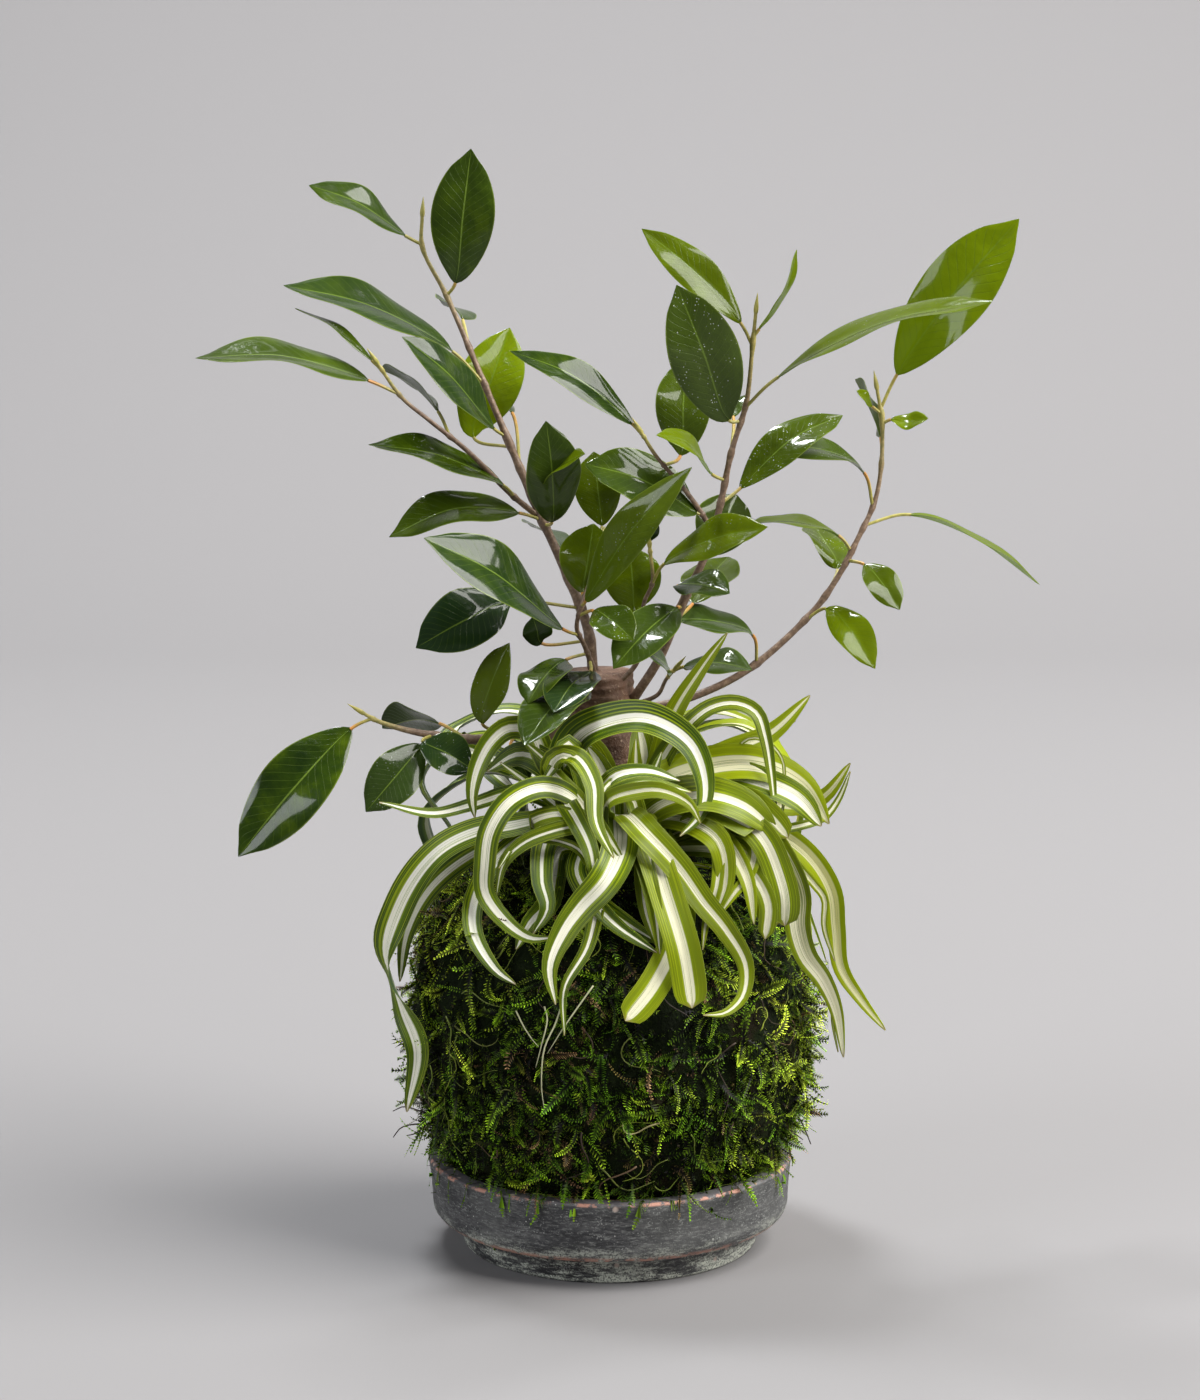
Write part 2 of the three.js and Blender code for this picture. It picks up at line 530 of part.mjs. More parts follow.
// Strap leaves behind, by a rule: they fan out away from the viewer, rise, arch over the edge of
// the ball and hang down it, each with its own height, turn and length.
const BACK_CROWN = [-2, CROWN.offset + 1];
const BACK_COUNT = 13;
function backStrap(k) {
  const aim = mix(-4, 184, (k + 0.7 * draw(k, 1)) / (BACK_COUNT - 0.4));
  const turn = mix(-36, 36, draw(k, 2));
  const crest = mix(168, 193, draw(k, 3));
  const end = mix(92, 148, draw(k, 4));
  const width = mix(8, 12, draw(k, 5));
  const clear = mix(6, 12, draw(k, 6));
  const outward = (swing) => {
    const angle = rad(90 + (aim - 90) * Math.min(swing, 1) + turn * Math.max(0, swing - 1));
    return vec(Math.cos(angle), Math.sin(angle), 0);
  };
  const place = (swing, reach, z) => outward(swing).multiplyScalar(reach).setZ(z).toArray();
  const middle = mix(crest, end, 0.55);
  const route = [
    place(0.45, 37, crest - 9),
    place(0.8, 52, crest),
    place(1, 68, mix(crest, end, 0.2)),
    place(1.5, ballRadius(middle, 0) + clear + 3, middle),
    place(2, ballRadius(end, 0) + clear, end),
  ];
  return [width, [outward(1).negate(), look(5), outward(1.5), outward(2)], route];
}

// A clump of strap leaves on its crown
function strapClump(crown, straps, trunk) {
  const leaves = straps.map((strap) => strapLeaf(crown, strap));
  return cleaned(wasm.Manifold.union([makeCrown(...crown, 0), ...leaves]).subtract(trunk));
}

// Soil ball inside the moss, with plain holes for the trunk and the two crowns
function makeSoil(trunk) {
  const holes = [trunk, makeCrown(...FRONT_CROWN, GAP), makeCrown(...BACK_CROWN, GAP)];
  return cleaned(holes.reduce((soil, hole) => soil.subtract(hole), plainBall(MOSS_DEPTH + GAP)));
}

const roomForTrunk = makeTrunk(GAP);
const plant = new THREE.Group();
plant.add(meshOf("saucer", makeSaucer(), CERAMIC));
plant.add(meshOf("soil_ball", makeSoil(roomForTrunk), SOIL));
plant.add(meshOf("moss_cover", makeMoss(), MOSS));
plant.add(meshOf("fig_trunk", makeTrunk(0), BARK));
const figStems = {
  fig_stem_left: [LEFT_STEM, LEFT_BRANCH],
  fig_stem_right: [RIGHT_STEM, RIGHT_BRANCH],
  fig_stem_far_right: [FAR_STEM],
  fig_stem_front: [FRONT_STEM],
  fig_stem_middle: [MIDDLE_STEM],
  fig_stem_low_left: [LOW_LEFT_STEM],
  fig_stem_low_right: [LOW_RIGHT_STEM],
};
for (const [name, parts] of Object.entries(figStems)) {
  plant.add(meshOf(name, leafyStem(parts, roomForTrunk), FIG_LEAF));
}
plant.add(meshOf("strap_leaves_front", strapClump(FRONT_CROWN, FRONT_STRAPS, roomForTrunk), STRAP_LEAF));
const backStraps = Array.from({ length: BACK_COUNT }, (_, k) => backStrap(k));
plant.add(meshOf("strap_leaves_back", strapClump(BACK_CROWN, backStraps, roomForTrunk), STRAP_LEAF));

export default plant;
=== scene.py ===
"""A moss ball plant on its saucer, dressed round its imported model.

A fig with a swollen trunk and a curly plant with striped strap leaves grow out of a ball of soil that
is wrapped in moss and stands in a weathered ceramic saucer. Every surface is worked out with numpy, in
millimetres, and goes into its mesh in metres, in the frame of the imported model.
"""

import math

import bpy
import numpy as np
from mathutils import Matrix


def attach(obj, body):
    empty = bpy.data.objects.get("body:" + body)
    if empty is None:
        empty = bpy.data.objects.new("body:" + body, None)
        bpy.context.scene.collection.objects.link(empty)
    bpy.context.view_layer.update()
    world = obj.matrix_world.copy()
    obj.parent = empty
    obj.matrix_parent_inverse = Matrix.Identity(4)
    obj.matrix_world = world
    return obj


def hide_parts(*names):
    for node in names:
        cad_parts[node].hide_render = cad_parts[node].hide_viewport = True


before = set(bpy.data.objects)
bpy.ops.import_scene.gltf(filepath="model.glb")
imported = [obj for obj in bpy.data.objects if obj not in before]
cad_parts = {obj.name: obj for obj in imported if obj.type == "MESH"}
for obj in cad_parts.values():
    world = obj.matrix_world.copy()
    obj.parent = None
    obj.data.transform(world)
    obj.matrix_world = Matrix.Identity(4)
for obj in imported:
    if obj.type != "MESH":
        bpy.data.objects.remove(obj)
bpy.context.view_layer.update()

MM = 0.001
SEED = 4

# Saucer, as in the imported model: radii of its rim, inside, foot, ledge and band, then heights of its rim
# and floor, and the radius of the dish's corner
RIM, INSIDE, FOOT, LEDGE, BAND_FOOT = 67.5, 60.5, 54.6, 56, 62.4
RIM_TOP, FLOOR, DISH = 33.5, 8, 12

# Ball of moss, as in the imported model: radius, height of its middle, its reach up and down from there,
# how square its outline is, and the height of its seat
BALL, MIDDLE, REACH_UP, REACH_DOWN, SQUARENESS, SEAT = 71.5, 85, 77, 80, 2.3, 8.3

# Depth of the moss over the soil, and the gap between solids that touch in the real object
MOSS_DEPTH, GAP = 9, 0.3

# Crowns of the strap leaves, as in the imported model: distance from the axis, radius and height of the top
CROWN_OFFSET, CROWN_RADIUS, CROWN_TOP = 30, 7, 157

# Camera, from the photograph's viewing angle
EYE = (-3.7, -1189, 393.3)
CAMERA_PITCH = 9.1
LENS = 85
SENSOR = 36


def unit(v):
    """Vectors along the last axis, each divided by its length."""
    return v / np.maximum(np.linalg.norm(v, axis=-1, keepdims=True), 1e-9)


def across_part(v, along):
    """Vectors less their part along unit directions: v - (v . along) along."""
    return v - (v * along).sum(-1, keepdims=True) * along


def smooth(x, low, high):
    """0 below low, 1 above high, and the cubic step t^2 (3 - 2 t) between them."""
    t = np.clip((x - low) / (high - low), 0, 1)
    return t * t * (3 - 2 * t)


def full_turn(sides):
    """Angles of a full turn in even steps."""
    return np.linspace(0, 2 * math.pi, sides, endpoint=False)


def running(steps):
    """Running total of some steps, from 0."""
    return np.concatenate([[0], np.cumsum(steps)])


def look(tilt, turn=0):
    """Direction that a face looks in: tilt 0 is up, 90 level; turn 0 is towards the viewer, 90 right."""
    a, b = math.radians(tilt), math.radians(turn)
    return np.array([math.sin(a) * math.sin(b), -math.sin(a) * math.cos(b), math.cos(a)])


# Directions that the strap leaves face in
SKY = look(50)
FRONT = look(80)
LEFT = look(75, -40)
RIGHT = look(75, 40)
AWAY = look(80, 180)
SIDE = look(90, -90)

# Steps in which each span of a curve is worked out
SPAN_STEPS = 24


def spline(points, count):
    """A centripetal Catmull-Rom curve through points, as count places spaced evenly along it.

    Each span is a cubic Hermite curve whose end tangents come from the three chords round it, each
    weighed by the square root of its length. The ends are carried on straight by one point.
    """
    p = np.asarray(points, float)
    p = np.vstack([2 * p[0] - p[1], p, 2 * p[-1] - p[-2]])
    t = np.linspace(0, 1, SPAN_STEPS, endpoint=False)[:, None]
    spans = []
    for a, b, c, d in zip(p, p[1:], p[2:], p[3:]):
        ab, bc, cd = (max(math.sqrt(np.linalg.norm(v)), 1e-4) for v in (b - a, c - b, d - c))
        start = bc * ((b - a) / ab - (c - a) / (ab + bc) + (c - b) / bc)
        end = bc * ((c - b) / bc - (d - b) / (bc + cd) + (d - c) / cd)
        spans.append((2 * t**3 - 3 * t**2 + 1) * b + (t**3 - 2 * t**2 + t) * start
                     + (3 * t**2 - 2 * t**3) * c + (t**3 - t**2) * end)
    fine = np.vstack(spans + [p[-2][None]])
    along = running(np.linalg.norm(np.diff(fine, axis=0), axis=1))
    even = np.linspace(0, along[-1], count)
    return np.stack([np.interp(even, along, fine[:, k]) for k in range(3)], 1)


def length_of(path):
    """Length of a path of points."""
    return float(np.linalg.norm(np.diff(path, axis=0), axis=1).sum())


def tangents(path):
    """Unit direction of a path at each of its points, by central differences."""
    return unit(np.gradient(path, axis=0))


# Least share of a wanted direction that may lie across the path, below which the last good one is kept
LEAST_ACROSS = 0.25


def faced(path, faces):
    """Upper direction and sideways direction at each point of a path: the wanted directions, spread
    evenly along it, with their part along the path taken out, carried on where little is left, then
    averaged with their neighbours three times so that a twist runs smoothly."""
    along = tangents(path)
    share = np.linspace(0, len(faces) - 1, len(path))
    knots = np.arange(len(faces))
    wanted = np.stack([np.interp(share, knots, np.asarray(faces)[:, k]) for k in range(3)], 1)
    flat = across_part(wanted, along)
    good = np.linalg.norm(flat, axis=1) > LEAST_ACROSS
    good[0] = True
    flat = unit(flat)[np.maximum.accumulate(np.where(good, np.arange(len(path)), 0))]
    for _ in range(3):
        padded = np.vstack([flat[:1], flat, flat[-1:]])
        flat = padded[:-2] + 2 * padded[1:-1] + padded[2:]
        flat = unit(across_part(flat, along))
    return flat, np.cross(along, flat)


class Body:
    """Points and faces of one piece, gathered from grids. Each face group holds its material, and each
    point has values named in the piece's attributes. Faces are counter-clockwise from outside."""

    def __init__(self, *attributes):
        self.points, self.faces, self.slots, self.maps = [], [], [], []
        self.values = {name: [] for name in attributes}
        self.count = 0

    def add(self, points, faces, slot=0, uv=None, **values):
        """Adds points (n, 3), a list of face arrays (f, corners), a UV per point and values per point."""
        n = len(points)
        self.points.append(points)
        for group in faces:
            self.faces.append(group + self.count)
            self.slots.append(np.full(len(group), slot))
        self.maps.append(np.zeros((n, 2)) if uv is None else uv)
        for name, store in self.values.items():
            store.append(np.broadcast_to(values.get(name, 0.0), (n,)).astype(float))
        self.count += n

    def build(self, name, materials, slot, crisp=False):
        """Makes the mesh piece, in metres, at the origin, riding on the root body. crisp keeps its
        edges over 50 degrees sharp."""
        mesh = bpy.data.meshes.new(name)
        points = np.vstack(self.points) * MM
        corners = np.concatenate([group.ravel() for group in self.faces])
        sizes = np.concatenate([np.full(len(group), group.shape[1]) for group in self.faces])
        mesh.vertices.add(len(points))
        mesh.vertices.foreach_set("co", points.ravel())
        mesh.loops.add(len(corners))
        mesh.loops.foreach_set("vertex_index", corners.astype(np.int32))
        mesh.polygons.add(len(sizes))
        mesh.polygons.foreach_set("loop_start", (np.cumsum(sizes) - sizes).astype(np.int32))
        mesh.polygons.foreach_set("material_index", np.concatenate(self.slots).astype(np.int32))
        mesh.polygons.foreach_set("use_smooth", np.ones(len(sizes), bool))
        layer = mesh.uv_layers.new(name="along")
        layer.uv.foreach_set("vector", np.vstack(self.maps)[corners].ravel())
        for key, store in self.values.items():
            values = mesh.attributes.new(key, "FLOAT", "POINT")
            values.data.foreach_set("value", np.concatenate(store))
        mesh.update()
        mesh.validate()
        if crisp:
            mesh.set_sharp_from_angle(angle=math.radians(50))
        piece = bpy.data.objects.new(name, mesh)
        bpy.context.scene.collection.objects.link(piece)
        for material in materials:
            mesh.materials.append(material)
        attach(piece, "root")
        return piece


def grid_faces(rows, columns, closed=False):
    """Quads of a grid of rows by columns points. closed joins the last column to the first."""
    i = np.arange(rows - 1)[:, None]
    j = np.arange(columns if closed else columns - 1)[None, :]
    k = (j + 1) % columns
    below, above = i * columns, (i + 1) * columns
    return np.stack([below + j, below + k, above + k, above + j], -1).reshape(-1, 4)


def grid_map(rows, columns):
    """UV of each point of a grid: share of the way across, and share of the way along."""
    v, u = np.meshgrid(np.linspace(0, 1, rows), np.linspace(0, 1, columns), indexing="ij")
    return np.stack([u.ravel(), v.ravel()], 1)


# Thickness of a blade at its edge, as a share of what it is elsewhere
EDGE_SHARE = 0.35


def add_blade(body, grid, up, thickness, **values):
    """A thin closed blade. grid (rows, columns, 3) is its middle surface, rows run along it, up is its
    upper direction per row. Upper and lower faces lie half the thickness off it, along the cross
    product of its two directions, and a wall round the edge joins them."""
    rows, columns = grid.shape[:2]
    across = unit(np.gradient(grid, axis=1))
    along = unit(np.gradient(grid, axis=0) + 1e-6 * tangents(grid[:, columns // 2])[:, None])
    normal = unit(np.cross(across, along))
    normal *= np.sign((normal * up[:, None]).sum(-1, keepdims=True).sum() or 1)
    share = np.ones((rows, columns))
    share[:, [0, -1]] = EDGE_SHARE
    share[[0, -1]] = EDGE_SHARE
    half = 0.5 * np.broadcast_to(thickness, (rows, columns)) * share
    points = np.vstack([(grid + normal * half[..., None]).reshape(-1, 3),
                        (grid - normal * half[..., None]).reshape(-1, 3)])
    top = grid_faces(rows, columns)
    n = rows * columns
    edge = np.concatenate([
        np.arange(columns), np.arange(2, rows + 1) * columns - 1,
        n - 2 - np.arange(columns - 1), np.arange(rows - 2, 0, -1) * columns])
    following = np.roll(edge, -1)
    wall = np.stack([edge + n, following + n, following, edge], 1)
    middle = rows // 2, columns // 2
    faces = [top, top[:, ::-1] + n, wall]
    if np.cross(across, along)[middle] @ normal[middle] <= 0:
        faces = [f[:, ::-1] for f in faces]
    uv = np.tile(grid_map(rows, columns), (2, 1))
    body.add(points, faces, 0, uv, under=np.repeat([0.0, 1.0], n), **values)


def add_tube(body, path, radius, sides=8, slot=0, **values):
    """A round section carried along a path without twist, its radius given per point, closed at both
    ends by a face: path + r (cos(a) normal + sin(a) binormal)."""
    along = tangents(path)
    side = np.cross(along[0], [0.3, 0.5, 0.81])
    normals = np.empty_like(path)
    for i, direction in enumerate(along):
        side = side - (side @ direction) * direction
        side /= np.linalg.norm(side)
        normals[i] = side
    others = np.cross(along, normals)
    angle = full_turn(sides)
    ring = np.cos(angle)[None, :, None] * normals[:, None] + np.sin(angle)[None, :, None] * others[:, None]
    radius = np.broadcast_to(radius, (len(path),))
    points = (path[:, None] + radius[:, None, None] * ring).reshape(-1, 3)
    last = (len(path) - 1) * sides
    caps = [np.arange(sides)[None, ::-1], last + np.arange(sides)[None, :]]
    faces = [grid_faces(len(path), sides, True)] + caps
    body.add(points, faces, slot, grid_map(len(path), sides), **values)


def add_rings(body, grid, poles):
    """A closed skin over a grid (rows, sides, 3) of rings, with a fan from its first and its last ring
    to a pole each."""
    rows, sides = grid.shape[:2]
    n = rows * sides
    j = np.arange(sides)
    k = (j + 1) % sides
    first = np.stack([np.full(sides, n), k, j], 1)
    last = n - sides + np.stack([j, k, np.full(sides, sides + 1)], 1)
    body.add(np.vstack([grid.reshape(-1, 3), poles]), [grid_faces(rows, sides, True), first, last])


def add_turned(body, radii, heights, relief):
    """A profile turned about the Z axis. Its first and last points lie on the axis. relief (rows, sides)
    is added to the radius of the rows between them."""
    angle = full_turn(relief.shape[1])
    z = np.broadcast_to(np.asarray(heights, float)[1:-1, None], relief.shape)
    r = np.asarray(radii, float)[1:-1, None] + relief
    grid = np.stack([r * np.cos(angle), r * np.sin(angle), z], -1)
    add_rings(body, grid, [[0, 0, heights[0]], [0, 0, heights[-1]]])


def node(tree, kind, inputs=None, **settings):
    """Adds a shader node, with its settings, and with a field, number, colour or vector for its inputs."""
    made = tree.nodes.new("ShaderNode" + kind)
    for key, value in settings.items():
        setattr(made, key, value)
    for key, value in (inputs or {}).items():
        socket = made.inputs[key]
        if isinstance(value, Field):
            tree.links.new(value.socket, socket)
        else:
            socket.default_value = (*value, 1) if socket.type == "RGBA" else value
    return made


class Field:
    """What an output of a shader node gives over the surface. Sums, differences, products and powers of
    fields and plain numbers are further nodes."""

    def __init__(self, tree, socket):
        self.tree = tree
        self.socket = socket

    def math(self, operation, other=0.0):
        """The field and another field or a number, put together by a Math node."""
        return Field(self.tree, node(self.tree, "Math", {0: self, 1: other}, operation=operation).outputs[0])

    def __add__(self, other):
        return self.math("ADD", other)

    def __sub__(self, other):
        return self.math("SUBTRACT", other)

    def __mul__(self, other):
        return self.math("MULTIPLY", other)

    def __pow__(self, other):
        return self.math("POWER", other)

    def __abs__(self):
        return self.math("ABSOLUTE")

    def scaled(self, low, high, bottom, top, step="LINEAR"):
        """The field moved from the range low to high into the range bottom to top."""
        inputs = {0: self, 1: low, 2: high, 3: bottom, 4: top}
        return Field(self.tree, node(self.tree, "MapRange", inputs, interpolation_type=step).outputs[0])

    def band(self, low, high):
        """0 where the field is below low, 1 where it is above high, a cubic step between them. low may
        be above high, which turns the step round."""
        return self.scaled(low, high, 0.0, 1.0, "SMOOTHSTEP")


class Skin:
    """A material in the making. Its methods add nodes and return the fields that they give."""

    def __init__(self, name):
        self.material = bpy.data.materials.new(name)
        self.material.use_nodes = True
        self.tree = self.material.node_tree
        self.tree.nodes.clear()

    def add(self, kind, inputs=None, output=0, **settings):
        """Adds a node and gives one of its outputs."""
        return Field(self.tree, node(self.tree, kind, inputs, **settings).outputs[output])

    def place(self):
        """Place on the object, in metres."""
        return self.add("TexCoord", output="Object")

    def parts(self, vector):
        """The X, Y and Z parts of a vector."""
        return [Field(self.tree, socket) for socket in node(self.tree, "SeparateXYZ", {0: vector}).outputs]

    def values(self, *names):
        """Point values that the piece carries, by their names."""
        return [self.add("Attribute", output="Fac", attribute_name=name) for name in names]

    def noise(self, place, scale, detail, rough):
        """Cloudy noise over the surface."""
        return self.add("TexNoise", {"Vector": place, "Scale": scale, "Detail": detail, "Roughness": rough})

    def dots(self, place, scale):
        """Distance to the nearest of many scattered points, in cells of the given scale."""
        return self.add("TexVoronoi", {"Vector": place, "Scale": scale}, feature="F1")

    def ramp(self, value, *stops):
        """A colour ramp over a value, with stops as (place, colour)."""
        made = node(self.tree, "ValToRGB", {0: value})
        elements = made.color_ramp.elements
        while len(elements) < len(stops):
            elements.new(0.5)
        for element, (place, colour) in zip(elements, stops):
            element.position = place
            element.color = (*colour, 1)
        return Field(self.tree, made.outputs[0])

    def mixed(self, share, a, b, blend="MIX"):
        """Colour a, with b laid over it by a share."""
        return self.add("Mix", {0: share, 6: a, 7: b}, 2, data_type="RGBA", blend_type=blend)

    def layers(self, colour, *coats):
        """A colour with coats, each a share and a colour, laid over it one after the other."""
        for share, coat in coats:
            colour = self.mixed(share, colour, coat)
        return colour

    def principled(self, colour, roughness, relief=None, **more):
        """A principled shader. relief is the field, strength and height in metres of its bump."""
        inputs = {"Base Color": colour, "Roughness": roughness}
        inputs.update({key.replace("_", " "): value for key, value in more.items()})
        if relief:
            height, strength, distance = relief
            bump = {"Height": height, "Strength": strength, "Distance": distance}
            inputs["Normal"] = self.add("Bump", bump)
        return self.add("BsdfPrincipled", inputs)

    def finish(self, shader, glow=None, share=0.0):
        """Ends the material with its shader, and with a share of light that comes through it as glow."""
        if glow:
            through = self.add("BsdfTranslucent", {"Color": glow})
            shader = self.add("MixShader", {0: share, 1: shader, 2: through})
        node(self.tree, "OutputMaterial", {0: shader})
        return self.material


# Share of light that comes through a leaf, where none is behind it and where it is sunlit
LEAST_THROUGH, MOST_THROUGH = 0.16, 0.5


def saucer_material():
    """Dark weathered ceramic: charcoal clouds with a brushed mottle and fine pale grit, a lighter flat
    rim, a pale bloom on the foot and low on the band, dust, copper wear along the rim's outer edge and
    the band's lower one, and a few chips and specks."""
    skin = Skin("weathered_ceramic")
    place = skin.place()
    x, y, height = skin.parts(place)
    radius = (x**2.0 + y**2.0).math("SQRT")
    wheel = skin.add("Mapping", {"Vector": place, "Scale": (1.0, 1.0, 4.0)})
    clouds = skin.noise(wheel, 32.0, 6.0, 0.66)
    mottle = skin.noise(wheel, 330.0, 5.0, 0.75)
    worn = skin.noise(place, 170.0, 5.0, 0.7)
    fine = skin.noise(place, 420.0, 3.0, 0.6)
    grain = skin.noise(place, 1500.0, 2.0, 0.5)
    grit = skin.dots(place, 1250.0).band(0.40, 0.20) * skin.noise(wheel, 90.0, 6.0, 0.8).band(0.50, 0.62)
    flat_rim = height.band(0.0325, 0.0333) * radius.band(0.0600, 0.0605)
    low_down = height.band(0.0190, 0.0095) * grain.band(0.30, 0.60)
    bloom = skin.noise(wheel, 62.0, 8.0, 0.85).band(0.45, 0.57) * low_down
    dust = skin.noise(place, 16.0, 4.0, 0.6).band(0.47, 0.64)
    rim_edge = radius.band(0.0662, 0.0668) * height.band(0.0321, 0.0328)
    low_edge = height.band(0.0136, 0.0116) * (height.band(0.0092, 0.0102) * radius.band(0.0600, 0.0615))
    edges = (rim_edge * worn.band(0.48, 0.55)).math("MAXIMUM", low_edge * worn.band(0.43, 0.52))
    chips = skin.dots(place, 95.0).band(0.13, 0.07) * skin.noise(place, 33.0, 2.0, 0.5).band(0.55, 0.6)
    specks = skin.dots(place, 480.0).band(0.16, 0.08) * skin.noise(place, 75.0, 3.0, 0.6).band(0.53, 0.61)
    body = skin.layers(
        skin.ramp(clouds, (0.32, (0.017, 0.017, 0.019)), (0.5, (0.039, 0.039, 0.042)),
                  (0.70, (0.095, 0.094, 0.095))),
        (mottle.band(0.52, 0.62) * 0.60, (0.185, 0.190, 0.182)),
        (mottle.band(0.47, 0.40) * 0.65, (0.012, 0.012, 0.013)),
        (grit * 0.55, (0.42, 0.43, 0.41)),
        (flat_rim * 0.75, (0.115, 0.105, 0.115)),
        (bloom, (0.62, 0.65, 0.56)),
        (dust * 0.22, (0.19, 0.195, 0.185)),
        (edges * 0.9, (0.46, 0.23, 0.17)),
        (chips * 0.8, (0.46, 0.36, 0.31)),
        (specks * 0.85, (0.55, 0.55, 0.52)))
    relief = fine * 0.6 + grain * 0.35 - chips * 0.9
    rough = clouds.scaled(0.3, 0.7, 0.48, 0.72)
    return skin.finish(skin.principled(body, rough, (relief, 0.55, 0.0006), Specular_IOR_Level=0.4))


def soil_material():
    """Dark moist soil: crumbs in three browns."""
    skin = Skin("moist_soil")
    place = skin.place()
    colour = skin.ramp(skin.noise(place, 260.0, 5.0, 0.6), (0.3, (0.010, 0.007, 0.005)),
                       (0.55, (0.035, 0.023, 0.015)), (0.75, (0.09, 0.06, 0.04)))
    return skin.finish(skin.principled(colour, 0.85, (skin.dots(place, 420.0), 0.9, 0.0012)))


def moss_bed_material():
    """The matted ground between the fronds: near black, which is painted shade in the gaps between them, and
    brown, with dull green.
    """
    skin = Skin("moss_bed")
    place = skin.place()
    fine = skin.noise(place, 480.0, 4.0, 0.65)
    # Near black and dark brown: the ground's colour darkened as painted shade in the gaps between the fronds
    patches = skin.ramp(
        skin.noise(place, 45.0, 5.0, 0.6), (0.3, (0.002, 0.003, 0.001)), (0.5, (0.004, 0.008, 0.001)),
        (0.62, (0.010, 0.008, 0.003)), (0.75, (0.008, 0.005, 0.003)))
    colour = skin.layers(patches, (fine.band(0.5, 0.75) * 0.4, (0.016, 0.026, 0.003)))
    return skin.finish(skin.principled(colour, 0.9, (fine, 1.0, 0.0025), Specular_IOR_Level=0.1))


def moss_material():
    """Moss fronds: tone runs from dry brown over deep green to yellow-green, and tip, by a power of it,
    paints shade at a frond's root, deep in the moss, and painted highlights at its leaflets' ends."""
    skin = Skin("moss_fronds")
    tone, tip = skin.values("tone", "tip")
    colour = skin.ramp(
        tone, (0.0, (0.060, 0.032, 0.018)), (0.12, (0.110, 0.068, 0.030)), (0.22, (0.050, 0.055, 0.005)),
        (0.36, (0.036, 0.090, 0.004)), (0.52, (0.080, 0.155, 0.004)), (0.70, (0.165, 0.235, 0.012)),
        (0.86, (0.300, 0.360, 0.028)), (1.0, (0.45, 0.46, 0.05)))
    # Painted shade and painted highlight: a power of tip scales the colour, near black at the roots and
    # bright at the leaflets' ends
    shade = tip.scaled(0.36, 1.10, 0.0, 1.0) ** 2.4 * 9.6
    colour = skin.add("VectorMath", {0: colour, "Scale": shade}, operation="SCALE")
    return skin.finish(skin.principled(colour, 0.45, Specular_IOR_Level=0.12), colour, 0.22)


def thread_material():
    """Bare stems and twigs in the moss: dark brown, then olive to yellow-green, then straw, by tone."""
    skin = Skin("dry_threads")
    colour = skin.ramp(
        skin.values("tone")[0], (0.0, (0.022, 0.012, 0.007)), (0.25, (0.11, 0.060, 0.025)),
        (0.45, (0.10, 0.15, 0.008)), (0.7, (0.24, 0.28, 0.02)), (0.88, (0.38, 0.33, 0.15)),
        (1.0, (0.36, 0.40, 0.27)))
    return skin.finish(skin.principled(colour, 0.6))


def bark_material():
    """Fig bark: red-brown and grey-brown clouds with pale pores and a fine grain."""
    skin = Skin("fig_bark")
    place = skin.place()
    clouds = skin.noise(place, 90.0, 5.0, 0.6)
    fine = skin.noise(place, 900.0, 4.0, 0.65)
    pores = skin.dots(place, 430.0).band(0.24, 0.12)
    colour = skin.layers(
        skin.ramp(clouds, (0.3, (0.055, 0.024, 0.013)), (0.5, (0.125, 0.060, 0.032)),
                  (0.72, (0.21, 0.125, 0.075))),
        (fine.band(0.5, 0.72) * 0.5, (0.30, 0.20, 0.13)),
        (pores * 0.55, (0.38, 0.27, 0.18)))
    return skin.finish(skin.principled(colour, 0.7, (pores * 0.5 + fine, 0.6, 0.0008)))


def stem_material():
    """Young fig stems and leaf stalks: grey-brown wood, green where tone is middling and orange where
    it is high."""
    skin = Skin("fig_stems")
    fine = skin.noise(skin.place(), 700.0, 4.0, 0.6)
    wood = skin.ramp(fine, (0.3, (0.075, 0.045, 0.027)), (0.55, (0.16, 0.10, 0.062)),
                     (0.75, (0.28, 0.20, 0.13)))
    green = skin.ramp(fine, (0.3, (0.20, 0.20, 0.035)), (0.7, (0.36, 0.30, 0.07)))
    tone = skin.values("tone")[0]
    colour = skin.layers(wood, (tone.band(0.1, 0.5), green), (tone.band(0.6, 1.0), (0.42, 0.17, 0.025)))
    return skin.finish(skin.principled(colour, 0.5, (fine, 0.35, 0.0005)))


